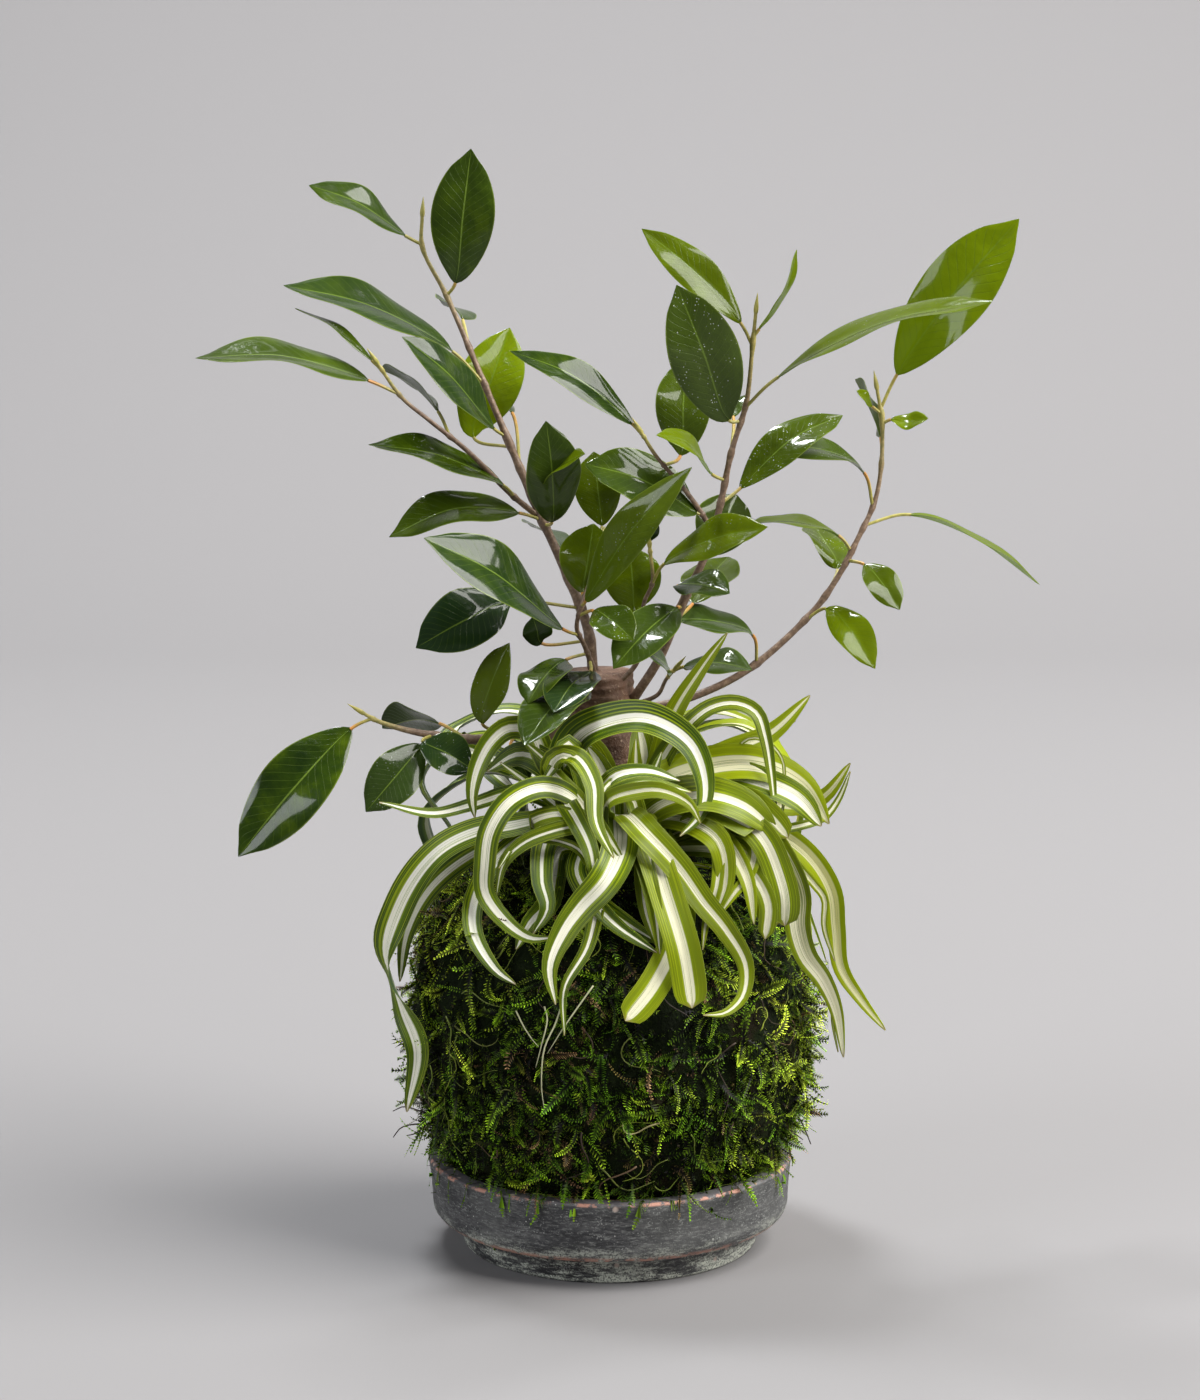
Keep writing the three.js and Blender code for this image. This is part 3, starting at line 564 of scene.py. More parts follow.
def fig_leaf_material():
    """Fig leaf: deep green and glossy above, paler and duller below, with a pale rib, fine side veins, a
    thin light margin and mineral flecks. tone paints it the yellow-green of a leaf with light behind it,
    which is painted light, and sets how much light comes through. The painted shade value darkens it to
    a blue-green, painted shade with a painted blue-grey sheen, and dust is how plain its flecks are."""
    skin = Skin("fig_leaf_skin")
    place = skin.place()
    u, v, _ = skin.parts(skin.add("UVMap", uv_map="along"))
    tone, under, dust, cool = skin.values("tone", "under", "dust", "cool")
    off_rib = abs(u * 2.0 - 1.0)
    vein = (v * 17.0 - off_rib * 3.2).math("PINGPONG", 0.5).band(0.08, 0.0) * off_rib.band(1.0, 0.75)
    rib, margin = off_rib.band(0.07, 0.02), off_rib.band(0.94, 0.99)
    clouds = skin.noise(place, 75.0, 5.0, 0.6)
    patches = skin.noise(place, 150.0, 4.0, 0.7).band(0.50, 0.60)
    flecks = skin.dots(place, 900.0).band(0.25, 0.10) * patches * dust
    upper = skin.layers(
        skin.ramp(clouds, (0.3, (0.007, 0.018, 0.001)), (0.52, (0.021, 0.042, 0.001)),
                  (0.72, (0.060, 0.098, 0.001))),
        # Painted shade and a painted blue-grey sheen: a darker blue-green
        (cool, (0.015, 0.034, 0.011)),
        # Painted light: the yellow-green of light coming through the leaf
        (tone, (0.17, 0.23, 0.002)),
        (vein * 0.22, (0.12, 0.19, 0.02)),
        (rib * 0.7, (0.15, 0.23, 0.03)))
    # Below, the same painted light of light coming through
    lower = skin.layers((0.028, 0.050, 0.002), (tone, (0.18, 0.25, 0.003)), (vein * 0.3, (0.12, 0.20, 0.03)),
                        (rib * 0.85, (0.26, 0.34, 0.07)))
    colour = skin.layers(upper, (under, lower), (margin * 0.6, (0.18, 0.24, 0.04)),
                         (flecks, (0.60, 0.64, 0.54)))
    relief = skin.noise(place, 85.0, 2.0, 0.5) * 3.4 + skin.noise(place, 260.0, 4.0, 0.7) * 0.9 - vein * 0.25
    shader = skin.principled(
        colour, under * 0.20 + (flecks * 0.5 + 0.20), (relief, 0.5, 0.0008), Specular_IOR_Level=0.05,
        Coat_Weight=0.62, Coat_Roughness=0.08, Coat_IOR=1.45)
    glow = skin.layers((0.075, 0.13, 0.002), (tone, (0.50, 0.64, 0.008)), (vein * 0.3, (0.08, 0.2, 0.02)))
    return skin.finish(shader, glow, tone.scaled(0.0, 1.0, LEAST_THROUGH, MOST_THROUGH))


def strap_material():
    """Strap leaf: a cream stripe down the middle with fine green lines in it, green margins with darker
    and lighter lines and patches of painted shade, a thin light edge and a brown tip, duller and greyer
    below. stripe is the stripe's share of the width, tone how far the leaf is painted a brighter yellow,
    as painted light, and how much light comes through it, and seed moves its lines."""
    skin = Skin("striped_strap_leaf")
    u, v, _ = skin.parts(skin.add("UVMap", uv_map="along"))
    tone, under, stripe, seed = skin.values("tone", "under", "stripe", "seed")
    across = u + seed * 7.0
    lines = skin.noise(skin.add("CombineXYZ", {0: across * 36.0, 1: v * 1.3}), 1.0, 2.0, 0.5)
    fibres = skin.noise(skin.add("CombineXYZ", {0: across * 110.0, 1: v * 3.0}), 1.0, 1.0, 0.5)
    shaded = skin.noise(skin.place(), 32.0, 3.0, 0.5).band(0.46, 0.64)
    off = abs(u * 2.0 - 1.0) + (lines - 0.5) * 0.10
    spread = off - stripe
    margin = skin.layers(
        skin.ramp(spread + 0.1, (0.0, (0.22, 0.30, 0.002)), (0.25, (0.085, 0.150, 0.001)),
                  (0.6, (0.034, 0.068, 0.001))),
        # Painted shade in patches on the margins
        (shaded * 0.55, (0.026, 0.056, 0.004)),
        (lines.band(0.47, 0.40) * 0.75, (0.018, 0.040, 0.002)),
        (lines.band(0.54, 0.60) * 0.65, (0.36, 0.44, 0.006)),
        # Painted light: margins brighter and yellower by tone
        (tone**1.5 * 0.8, (0.50, 0.60, 0.006)))
    cream = skin.layers((0.92, 0.90, 0.80), (lines.band(0.57, 0.60) * 0.8, (0.24, 0.30, 0.01)),
                        (fibres * 0.14, (0.66, 0.70, 0.45)))
    colour = skin.layers(cream, (spread.band(-0.035, 0.02), margin),
                         (off.band(0.94, 0.985) * 0.7, (0.32, 0.40, 0.03)))
    # Painted light: the whole leaf tinted yellow by tone
    colour = skin.layers(colour, (tone * 0.6, skin.mixed(1.0, colour, (1.0, 0.97, 0.62), "MULTIPLY")),
                         (v.band(0.975, 1.0) * 0.55, (0.30, 0.19, 0.07)))
    colour = skin.mixed(under, colour, skin.mixed(0.42, colour, (0.19, 0.29, 0.20)))
    shader = skin.principled(colour, 0.36, (lines * 0.7 + fibres * 0.5, 0.4, 0.0004), Specular_IOR_Level=0.3)
    glow = skin.mixed(1.0, colour, (1.0, 1.0, 0.45), "MULTIPLY")
    return skin.finish(shader, glow, tone.scaled(0.0, 1.0, LEAST_THROUGH, MOST_THROUGH))


def make_saucer():
    """Saucer: a foot, a groove, a band that rounds in below, a flat rim with small rounded edges and a
    dish inside, as one profile turned about the axis. Its corners are arcs, radius r + a cos and height
    h + a sin of the corner's angle, and a potter's faint waves, sines of angle and height, are added to
    its radius."""
    foot_round, band_round, rim_round = 1.4, 6, 1.2
    edge = np.radians(np.linspace(0, 90, 6))
    low = np.radians(np.linspace(-72, 0, 9))
    profile = [
        ([0, 20, 45, FOOT - foot_round], [0, 0, 0, 0]),
        (FOOT - foot_round + foot_round * np.sin(edge), foot_round - foot_round * np.cos(edge)),
        ([FOOT + 0.5, LEDGE - 0.3, LEDGE + 0.3, BAND_FOOT - 3.4], [4.5, 8.6, 9.6, 10.1]),
        (RIM - 7.5 + band_round * np.cos(low), 16.3 + band_round * np.sin(low)),
        ([RIM - 1.4, RIM - 1.1, RIM - 0.5], [19, 24, 29]),
        (RIM - rim_round + rim_round * np.cos(edge), RIM_TOP - rim_round + rim_round * np.sin(edge)),
        (INSIDE + rim_round - rim_round * np.sin(edge), RIM_TOP - rim_round + rim_round * np.cos(edge)),
        ([INSIDE - 0.2, INSIDE - 1.2], [30, 24]),
        (INSIDE - 2 - DISH * (1 - np.cos(edge)), FLOOR + DISH * (1 - np.sin(edge))),
        ([20, 0], [FLOOR, FLOOR])]
    radii, heights = (np.concatenate([stretch[k] for stretch in profile]) for k in (0, 1))
    angle, z = full_turn(200), heights[1:-1, None]
    waves = 0.12 * np.sin(3 * angle + z / 9) + 0.08 * np.sin(7 * angle - z / 5)
    body = Body()
    add_turned(body, radii, heights, waves * smooth(z, 1, 6))
    piece = body.build("ceramic_saucer", [saucer_material()], "saucer")
    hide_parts("saucer")


def ball_radius(z, inset=0.0):
    """Radius of the ball at a height, a squared circle: (r / R)^p + (h / H)^p = 1, less an inset."""
    h = z - MIDDLE
    reach = np.where(h > 0, REACH_UP, REACH_DOWN) - inset
    share = np.minimum(1, np.abs(h) / reach)
    return (BALL - inset) * np.maximum(0, 1 - share**SQUARENESS) ** (1 / SQUARENESS)


def moss_relief(angle, z):
    """Relief of the moss: cushions some 25 mm across with smaller ones on them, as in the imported
    model, and fine tufts on those, each a product of two sines, all fading at the seat."""
    large = np.sin(8 * angle + 0.05 * z) * np.sin(0.13 * z + 1.3 * np.sin(3 * angle))
    small = np.sin(15 * angle - 0.1 * z) * np.sin(0.27 * z + 2 * np.sin(5 * angle))
    tufts = np.sin(43 * angle + 0.6 * z) * np.sin(0.75 * z + 2 * np.sin(11 * angle))
    fade = smooth(z, RIM_TOP - 4, RIM_TOP + 18)
    return fade * (2 * large + 1.2 * small + 0.5 * tufts)


def ball_heights(low, high, count, inset=0.0):
    """Heights from low to high on the ball, closer together towards both ends by a sine."""
    reaches = [(REACH_UP if z > MIDDLE else REACH_DOWN) - inset for z in (low, high)]
    ends = [math.asin((z - MIDDLE) / reach) for z, reach in zip((low, high), reaches)]
    angle = np.linspace(*ends, count)
    return MIDDLE + (np.where(angle > 0, REACH_UP, REACH_DOWN) - inset) * np.sin(angle)


def make_soil():
    """Soil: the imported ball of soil, a turned squared circle, with crumbs raised on it by chance, which
    shows in the moss's opening."""
    inset, sides = MOSS_DEPTH + GAP, 120
    heights = ball_heights(SEAT + 10, MIDDLE + REACH_UP - 10, 60, inset)
    radii = ball_radius(heights, inset)
    crumbs = np.random.default_rng(SEED).normal(0, 0.45, (len(heights) - 2, sides))
    radii[0] = radii[-1] = 0
    body = Body()
    add_turned(body, radii, heights, crumbs)
    piece = body.build("soil_crumbs", [soil_material()], "soil")
    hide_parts("soil_ball")


# Turned-in edge of the moss round its opening on top: radii and heights
OPENING_RADII = [40, 37, 34, 32, 0]
OPENING_HEIGHTS = [152.6, 152.2, 150, 146, 140]


def make_moss_bed():
    """Moss ground: the outer face of the moss, a turned squared circle, with its relief and a little
    chance in its radius, turned in at the opening on top."""
    sides = 230
    outer = ball_heights(SEAT + 0.3, 151.5, 80)
    radii = np.concatenate([[0], ball_radius(outer), OPENING_RADII])
    heights = np.concatenate([[SEAT], outer, OPENING_HEIGHTS])
    z = heights[1:-1, None]
    rough = np.random.default_rng(SEED).normal(0, 0.25, (len(heights) - 2, sides))
    body = Body()
    add_turned(body, radii, heights, (moss_relief(full_turn(sides), z) + rough) * smooth(z, 9, 20))
    piece = body.build("moss_bed", [moss_bed_material()], "moss")
    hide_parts("moss_cover")


# Furthest that a frond reaches from the axis, and least radius that places are spread round
MOSS_REACH = 81
LEAST_ROUND = 25

# Heights up the moss, how far each lies along its outline, and the area below each
MOSS_Z = ball_heights(20, 152.5, 600)
MOSS_RUN = running(np.hypot(np.diff(ball_radius(MOSS_Z)), np.diff(MOSS_Z)))
MOSS_AREA = running(np.diff(MOSS_RUN) * ball_radius(MOSS_Z[1:]))


def spread_over_moss(draw, count):
    """Random places on the moss, even by area: angle, and distance along the outline from its foot."""
    run = np.interp(draw.uniform(0, MOSS_AREA[-1], count), MOSS_AREA, MOSS_RUN)
    return draw.uniform(-math.pi, math.pi, count), run


def round_at(run):
    """Radius of the moss at a distance along its outline."""
    return np.maximum(ball_radius(np.interp(run, MOSS_RUN, MOSS_Z)), LEAST_ROUND)


def on_moss(angle, run):
    """Height, point, outward direction and direction down the slope at places on the moss."""
    run = MOSS_RUN[-1] - np.abs(MOSS_RUN[-1] - np.abs(run))
    height = np.interp(run, MOSS_RUN, MOSS_Z)
    slope = np.clip(ball_radius(height + 0.5) - ball_radius(height - 0.5), -3, 3)
    out = np.stack([np.cos(angle), np.sin(angle), np.zeros(len(angle))], 1)
    level = np.array([0, 0, 1.0])
    point = out * (ball_radius(height) + moss_relief(angle, height))[:, None] + level * height[:, None]
    return height, point, unit(out - level * slope[:, None]), unit(-out * slope[:, None] - level)


def moss_tone(draw, angle, height):
    """Tone of the moss at a place: deep green with brighter patches, olive at the upper left, yellow-green
    painted light on the right side, towards the key lamp, and dry brown in a few hollows, from slow sines
    of angle and height."""
    patch = np.sin(3 * angle + 0.045 * height + 1.1 * np.sin(2 * angle + 0.07 * height))
    olive = smooth(np.cos(angle - math.radians(205)), 0.55, 1.0) * smooth(height, 75, 120)
    # Painted light: the moss is yellower and brighter on the right side, towards the key lamp
    painted_light_right = smooth(np.cos(angle + math.radians(15)), 0.5, 1.0) * smooth(height, 35, 100)
    dips = np.sin(5 * angle + 0.09 * height) * np.sin(0.11 * height + 2.2 * np.sin(2 * angle))
    hollow = smooth(dips, 0.5, 0.9)
    tone = 0.46 + 0.07 * patch + 0.30 * olive + 0.20 * painted_light_right + draw.normal(0, 0.10, len(angle))
    dry = draw.uniform(size=len(angle)) < 0.04 + 0.55 * hollow
    return np.where(dry, draw.uniform(0.0, 0.2, len(angle)), np.clip(tone, 0.22, 0.8))


def clear_of_saucer(points):
    """Points that would lie in the saucer's wall: those just under its rim move up to lie on it, and the
    deeper ones to its inner or outer side, whichever is near."""
    radius = np.hypot(points[..., 0], points[..., 1])
    inner, middle, outer, above = INSIDE - 0.7, RIM - 3, RIM + 0.7, RIM_TOP + 0.5
    deep = points[..., 2] < RIM_TOP - 4
    reach = np.where(deep & (radius > inner) & (radius < middle), inner, radius)
    reach = np.where(deep & (radius >= middle) & (radius < outer), outer, reach)
    on_rim = (points[..., 2] < above) & ~deep & (radius > inner) & (radius < outer)
    points[..., :2] *= (reach / np.maximum(radius, 1))[..., None]
    points[..., 2] = np.where(on_rim, above, points[..., 2])
    return points


def within_reach(points):
    """Points of the moss, drawn in towards the axis where they lie further out than fronds reach."""
    radius = np.hypot(points[..., 0], points[..., 1])
    points[..., :2] *= np.minimum(1, MOSS_REACH / np.maximum(radius, 1))[..., None]
    return points


# Half width of a frond's rib at its root, and how deep it stands in the moss
RIB_WIDTH, RIB_DEPTH = 0.20, 0.8


def add_fronds(body, draw, place, heading, tone, length, pairs, reach, lift, sag=0.5, sway=0.9, painted_glint=0.0,
               pale=0.0, full=0.62):
    """Feathery moss fronds. A frond's rib is an arc of a circle, root + L / c (sin(c t) start + (1 -
    cos(c t)) bend), that leaves the moss at a low angle and curls aside, down or in. At each step of it
    stand two slim pointed leaflets, swept towards the tip and shorter at both ends. reach is the
    leaflets' length and full how much of a step their bases take up. sag and sway say how far the curl
    leans down and to chance. Each point's tip value is painted light: painted shade, dark at the rib's
    root and the leaflets' bases, and painted highlights at the leaflets' ends. painted_glint lifts the
    painted highlights at the leaflets' ends, and pale the painted light along the rib."""
    point, normal, down = place
    n = len(point)
    aside = np.cross(normal, down)
    flat = np.cos(heading)[:, None] * down + np.sin(heading)[:, None] * aside
    start = np.cos(lift)[:, None] * flat + np.sin(lift)[:, None] * normal
    bend = unit(across_part(down * sag - normal * 0.35 + draw.normal(0, sway, (n, 3)), start))
    curl = draw.uniform(0.3, 2.3, n)
    t = np.linspace(0, 1, pairs + 1)
    arc = (length / curl)[:, None]
    swing = curl[:, None] * t[None]
    path = (point[:, None] - RIB_DEPTH * normal[:, None] + (arc * np.sin(swing))[..., None] * start[:, None]
            + (arc * (1 - np.cos(swing)))[..., None] * bend[:, None])
    along = unit(np.gradient(path, axis=1))
    roll = normal + draw.normal(0, 0.5, (n, 3))
    side = unit(np.cross(along, roll[:, None]))
    up = np.cross(side, along)
    width = RIB_WIDTH * (1 - 0.7 * t)
    left, right = path - side * width[None, :, None], path + side * width[None, :, None]
    step = path[:, 1:] - path[:, :-1]
    first, last = path[:, :-1] + 0.02 * step, path[:, :-1] + full * step
    middle = 0.5 * (t[:-1] + t[1:])
    outline = np.sin(math.pi * (0.15 + 0.8 * middle)) ** 0.7
    out = (reach[:, None] * outline * draw.uniform(0.6, 1.2, (n, pairs)))[..., None]
    forward, rise = 0.95 * along[:, :-1], 0.35 * up[:, :-1]
    left_tip = first + out * unit(-side[:, :-1] + forward + rise)
    right_tip = first + out * unit(side[:, :-1] + forward + rise)
    points = np.concatenate([left, right, first, last, left_tip, right_tip], 1)
    points = within_reach(clear_of_saucer(points))
    k = np.arange(pairs)
    rib, root, end = pairs + 1 + k, 2 * (pairs + 1) + k, 2 * (pairs + 1) + pairs + k
    strip = np.stack([k, rib, rib + 1, k + 1], 1)
    leaflets = np.concatenate([np.stack([root, end, end + pairs], 1),
                               np.stack([end, root, end + 2 * pairs], 1)])
    per = points.shape[1]
    base = (np.arange(n) * per)[:, None, None]
    # Painted highlight: a random lift of the brightness at each leaflet's end, per frond and per leaflet
    glint = painted_glint + draw.normal(0, 0.12, (n, 1)) + draw.normal(0, 0.09, (n, 2 * pairs))
    # Painted shade along the rib and at the leaflets' bases, darkest at the root, deep in the moss
    rib_painted_shade = pale + np.concatenate([0.55 * t, 0.55 * t, 0.2 + 0.4 * middle, 0.2 + 0.4 * middle])
    leaflet_painted_highlight = 0.55 + 0.4 * np.tile(middle, 2) + glint
    tip = np.concatenate([np.broadcast_to(rib_painted_shade, (n, per - 2 * pairs)), leaflet_painted_highlight], 1)
    faces = [(strip[None] + base).reshape(-1, 4), (leaflets[None] + base).reshape(-1, 3)]
    body.add(points.reshape(-1, 3), faces, tone=np.repeat(tone, per), tip=tip.ravel())


# Families of fronds: name, how many, greatest length, pairs of leaflets, greatest length of a leaflet,
# share that stands outside the clumps, painted glint (a lift of the painted highlight at its leaflets'
# ends), how wide its leaflets are, and steepest lift in degrees
FROND_FAMILIES = [
    ("moss_fronds", 4300, 14.5, 10, 3.2, 0.2, -0.04, 0.62, 46),
    ("moss_tufts", 12500, 5.8, 4, 1.9, 0.55, -0.15, 0.62, 52),
    ("moss_plumes", 2100, 24, 19, 3.4, 0.35, 0.12, 0.95, 30),
]

# Clumps that the fronds stand in, and how far each spreads
CLUMPS, CLUMP_SPREAD = 280, 6


def make_moss_fronds():
    """Moss fronds: middling ones all over, short tufts that fill in between and long plumes that comb
    along the face. Most stand in clumps that comb one way, normally spread round the clump's middle, with
    dark gaps between them."""
    draw = np.random.default_rng(SEED + 1)
    finish = moss_material()
    clump_angle, clump_run = spread_over_moss(draw, CLUMPS)
    clump_heading, clump_tone = draw.normal(0, 1.2, CLUMPS), draw.normal(0, 0.09, CLUMPS)
    for name, count, longest, pairs, widest, loose, painted_glint, full, steepest in FROND_FAMILIES:
        pick = draw.integers(CLUMPS, size=count)
        angle, run = spread_over_moss(draw, count)
        bound = draw.uniform(size=count) > loose
        run = np.where(bound, clump_run[pick] + draw.normal(0, CLUMP_SPREAD, count), run)
        aside = draw.normal(0, CLUMP_SPREAD, count) / round_at(run)
        angle = np.where(bound, clump_angle[pick] + aside, angle)
        combed = clump_heading[pick] + draw.normal(0, 0.5, count)
        heading = np.where(bound, combed, draw.normal(0, 1.4, count))
        height, *place = on_moss(angle, run)
        tone = np.clip(moss_tone(draw, angle, height) + bound * clump_tone[pick], 0, 0.84)
        length = longest * draw.uniform(0.45, 1.0, count)
        reach = widest * draw.uniform(0.3, 1.0, count)
        lift = np.radians(draw.uniform(4, steepest, count))
        for part, chosen in (("low", height < MIDDLE), ("high", height >= MIDDLE)):
            body = Body("tone", "tip")
            add_fronds(body, draw, [v[chosen] for v in place], heading[chosen], tone[chosen], length[chosen],
                       pairs, reach[chosen], lift[chosen], painted_glint=painted_glint, full=full)
            body.build(name + "_" + part, [finish], "moss")
    make_rim_fronds(draw, finish)


def make_rim_fronds(draw, finish):
    """Longer fronds low on the moss that lean out over the saucer's rim, most of them in front, and a few
    that stand off the moss at its sides."""
    in_front, over, stray, pairs = 26, 54, 26, 14
    count = over + stray
    angle = np.concatenate([draw.normal(-1.8, 0.6, in_front),
                            draw.uniform(-math.pi, math.pi, over - in_front),
                            draw.choice([-0.35, 0.1, 3.0, 3.5], stray) + draw.normal(0, 0.25, stray)])
    root_height = np.concatenate([draw.uniform(37, 44, over), draw.uniform(50, 125, stray)])
    height, *place = on_moss(angle, np.interp(root_height, MOSS_Z, MOSS_RUN))
    length = np.concatenate([draw.uniform(11, 19, over), draw.uniform(8, 15, stray)])
    lift = np.radians(np.concatenate([draw.uniform(75, 112, over), draw.uniform(35, 65, stray)]))
    tone = np.clip(moss_tone(draw, angle, height) - 0.03, 0, 1)
    heading = draw.normal(0, 0.5, count)
    body = Body("tone", "tip")
    # Lighter painted shade along the rib and a dimmer painted highlight at the leaflets' ends than on other
    # fronds
    add_fronds(body, draw, place, heading, tone, length, pairs, draw.uniform(1.0, 2.6, count), lift,
               sag=1.1, sway=0.5, painted_glint=-0.12, pale=0.2, full=0.9)
    body.build("moss_fronds_over_rim", [finish], "moss")


# Thin pale leaf ends that lie on the moss in front
PALE_ENDS = [
    [[-33, -68, 104], [-30, -72, 99], [-27, -74, 95], [-25, -75, 93]],
    [[-23, -74, 107], [-22, -76, 103], [-24, -77, 94], [-26, -77, 86]],
    [[-17, -76, 108], [-19, -77, 102], [-23, -78, 93], [-24, -77, 79], [-23, -75, 70]],
    [[-6, -76, 115], [-9, -77, 111], [-16, -78, 101], [-22, -77, 91]],
]

# Dark twigs that stand off the moss low on its left and right
TWIGS = [
    [[-60, -14, 49], [-70, -13, 52], [-76, -11, 53], [-80, -10, 51]],
    [[-60, -14, 46], [-70, -13, 47], [-77, -11, 45], [-80, -10, 41]],
    [[-60, -13, 52], [-69, -12, 56], [-75, -11, 60], [-73, -11, 64], [-70, -12, 62]],
    [[-66, -14, 48], [-72, -12, 43], [-75, -11, 42]],
    [[62, -15, 55], [69, -13, 50], [72, -12, 44], [74, -12, 39]],
    [[60, -16, 45], [67, -14, 44], [71, -13, 41]],
    [[64, -14, 50], [70, -12, 52], [73, -11, 52]],
    [[62, -14, 62], [69, -12, 61], [73, -11, 63]],
]


def thread_tone(draw):
    """Tone of a bare stem: brown for about a third, straw for a few, and green to yellow for the rest."""
    kind = draw.uniform()
    if kind < 0.35:
        return draw.uniform(0, 0.3)
    return draw.uniform(0.75, 0.9) if kind > 0.93 else draw.uniform(0.36, 0.66)


def make_moss_threads():
    """Bare stems in the moss: slim tubes that wind over its face, curling one way with a slow sway. The
    heading along each is h + c t + a sin(2 pi t + p). Twigs and pale leaf ends have routes of their own."""
    draw = np.random.default_rng(SEED + 2)
    count, steps = 170, 15
    t = np.linspace(0, 1, steps)[None]
    angle, run = spread_over_moss(draw, count)
    span = draw.uniform(12, 34, count)[:, None]
    heading = (draw.normal(-1.57, 1.0, count)[:, None] + draw.normal(0, 2.0, count)[:, None] * t
               + 0.6 * np.sin(2 * math.pi * t + draw.uniform(0, 6.28, count)[:, None]))
    run = run[:, None] + np.cumsum(span / steps * np.sin(heading), axis=1)
    run = np.clip(run, MOSS_RUN[-1] * 0.09, MOSS_RUN[-1] * 0.97)
    angle = angle[:, None] + np.cumsum(span / steps * np.cos(heading) / round_at(run), axis=1)
    _, point, normal, _ = on_moss(angle.ravel(), run.ravel())
    off = (draw.uniform(1.6, 4.2, count)[:, None]
           + 2.2 * draw.normal(0, 1, count)[:, None] * (t - 0.5) ** 2 * 4)
    paths = clear_of_saucer(point.reshape(count, steps, 3) + off[..., None] * normal.reshape(count, steps, 3))
    body = Body("tone")
    for path in paths:
        tone = thread_tone(draw)
        add_tube(body, path, draw.uniform(0.16, 0.36) * (1 - 0.65 * t[0]), 5, tone=tone)
    for route in TWIGS:
        add_tube(body, spline(route, 12), np.linspace(0.45, 0.18, 12), 6, tone=0.0)
    for route in PALE_ENDS:
        add_tube(body, spline(route, 16), 0.31 - 0.2 * np.linspace(0, 1, 16) ** 2, 6, tone=0.95)
    body.build("moss_threads", [thread_material()], "moss")


# Trunk of the fig: [height, radius, x, y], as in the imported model
TRUNK = [
    [120, 8, 0, 0], [132, 13, 0, 0], [146, 16, 0, 0], [158, 19, 0, 1], [170, 21, -1, 2], [182, 21.5, -3, 3],
    [192, 20, -5, 3], [200, 17, -6, 3], [207, 14, -5, 2], [212, 12.5, -4, 2], [213.5, 11, -4, 2]]


def make_trunk():
    """Trunk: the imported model's lobed sections carried up through eased heights, with wrinkles and
    knobs in the radius, all sines of angle and height, and a flat cut on top."""
    table = np.array(TRUNK, float)
    rows, sides = 90, 120
    knots = np.arange(len(table))
    at = np.linspace(0, len(table) - 1, rows)
    z, radius, x, y = (np.interp(at, knots, table[:, k])[:, None] for k in range(4))
    angle = full_turn(sides)[None]
    lobes = 1 + 0.07 * np.sin(3 * angle + z / 18) + 0.04 * np.sin(5 * angle - z / 11)
    wrinkles = 0.22 * np.sin(1.9 * z + 1.5 * np.sin(3 * angle))
    knobs = 0.3 * np.sin(9 * angle + z / 6) * np.sin(z / 4 + 2 * angle)
    r = radius * lobes + (wrinkles + knobs) * smooth(213 - z, 0, 4)
    grid = np.stack([x + r * np.cos(angle), y + r * np.sin(angle), np.broadcast_to(z, r.shape)], -1)
    body = Body()
    add_rings(body, grid, [[0, 0, table[0, 0]], [-4, 2, table[-1, 0] + 0.2]])
    piece = body.build("fig_trunk_bark", [bark_material()], "bark")
    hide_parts("fig_trunk")


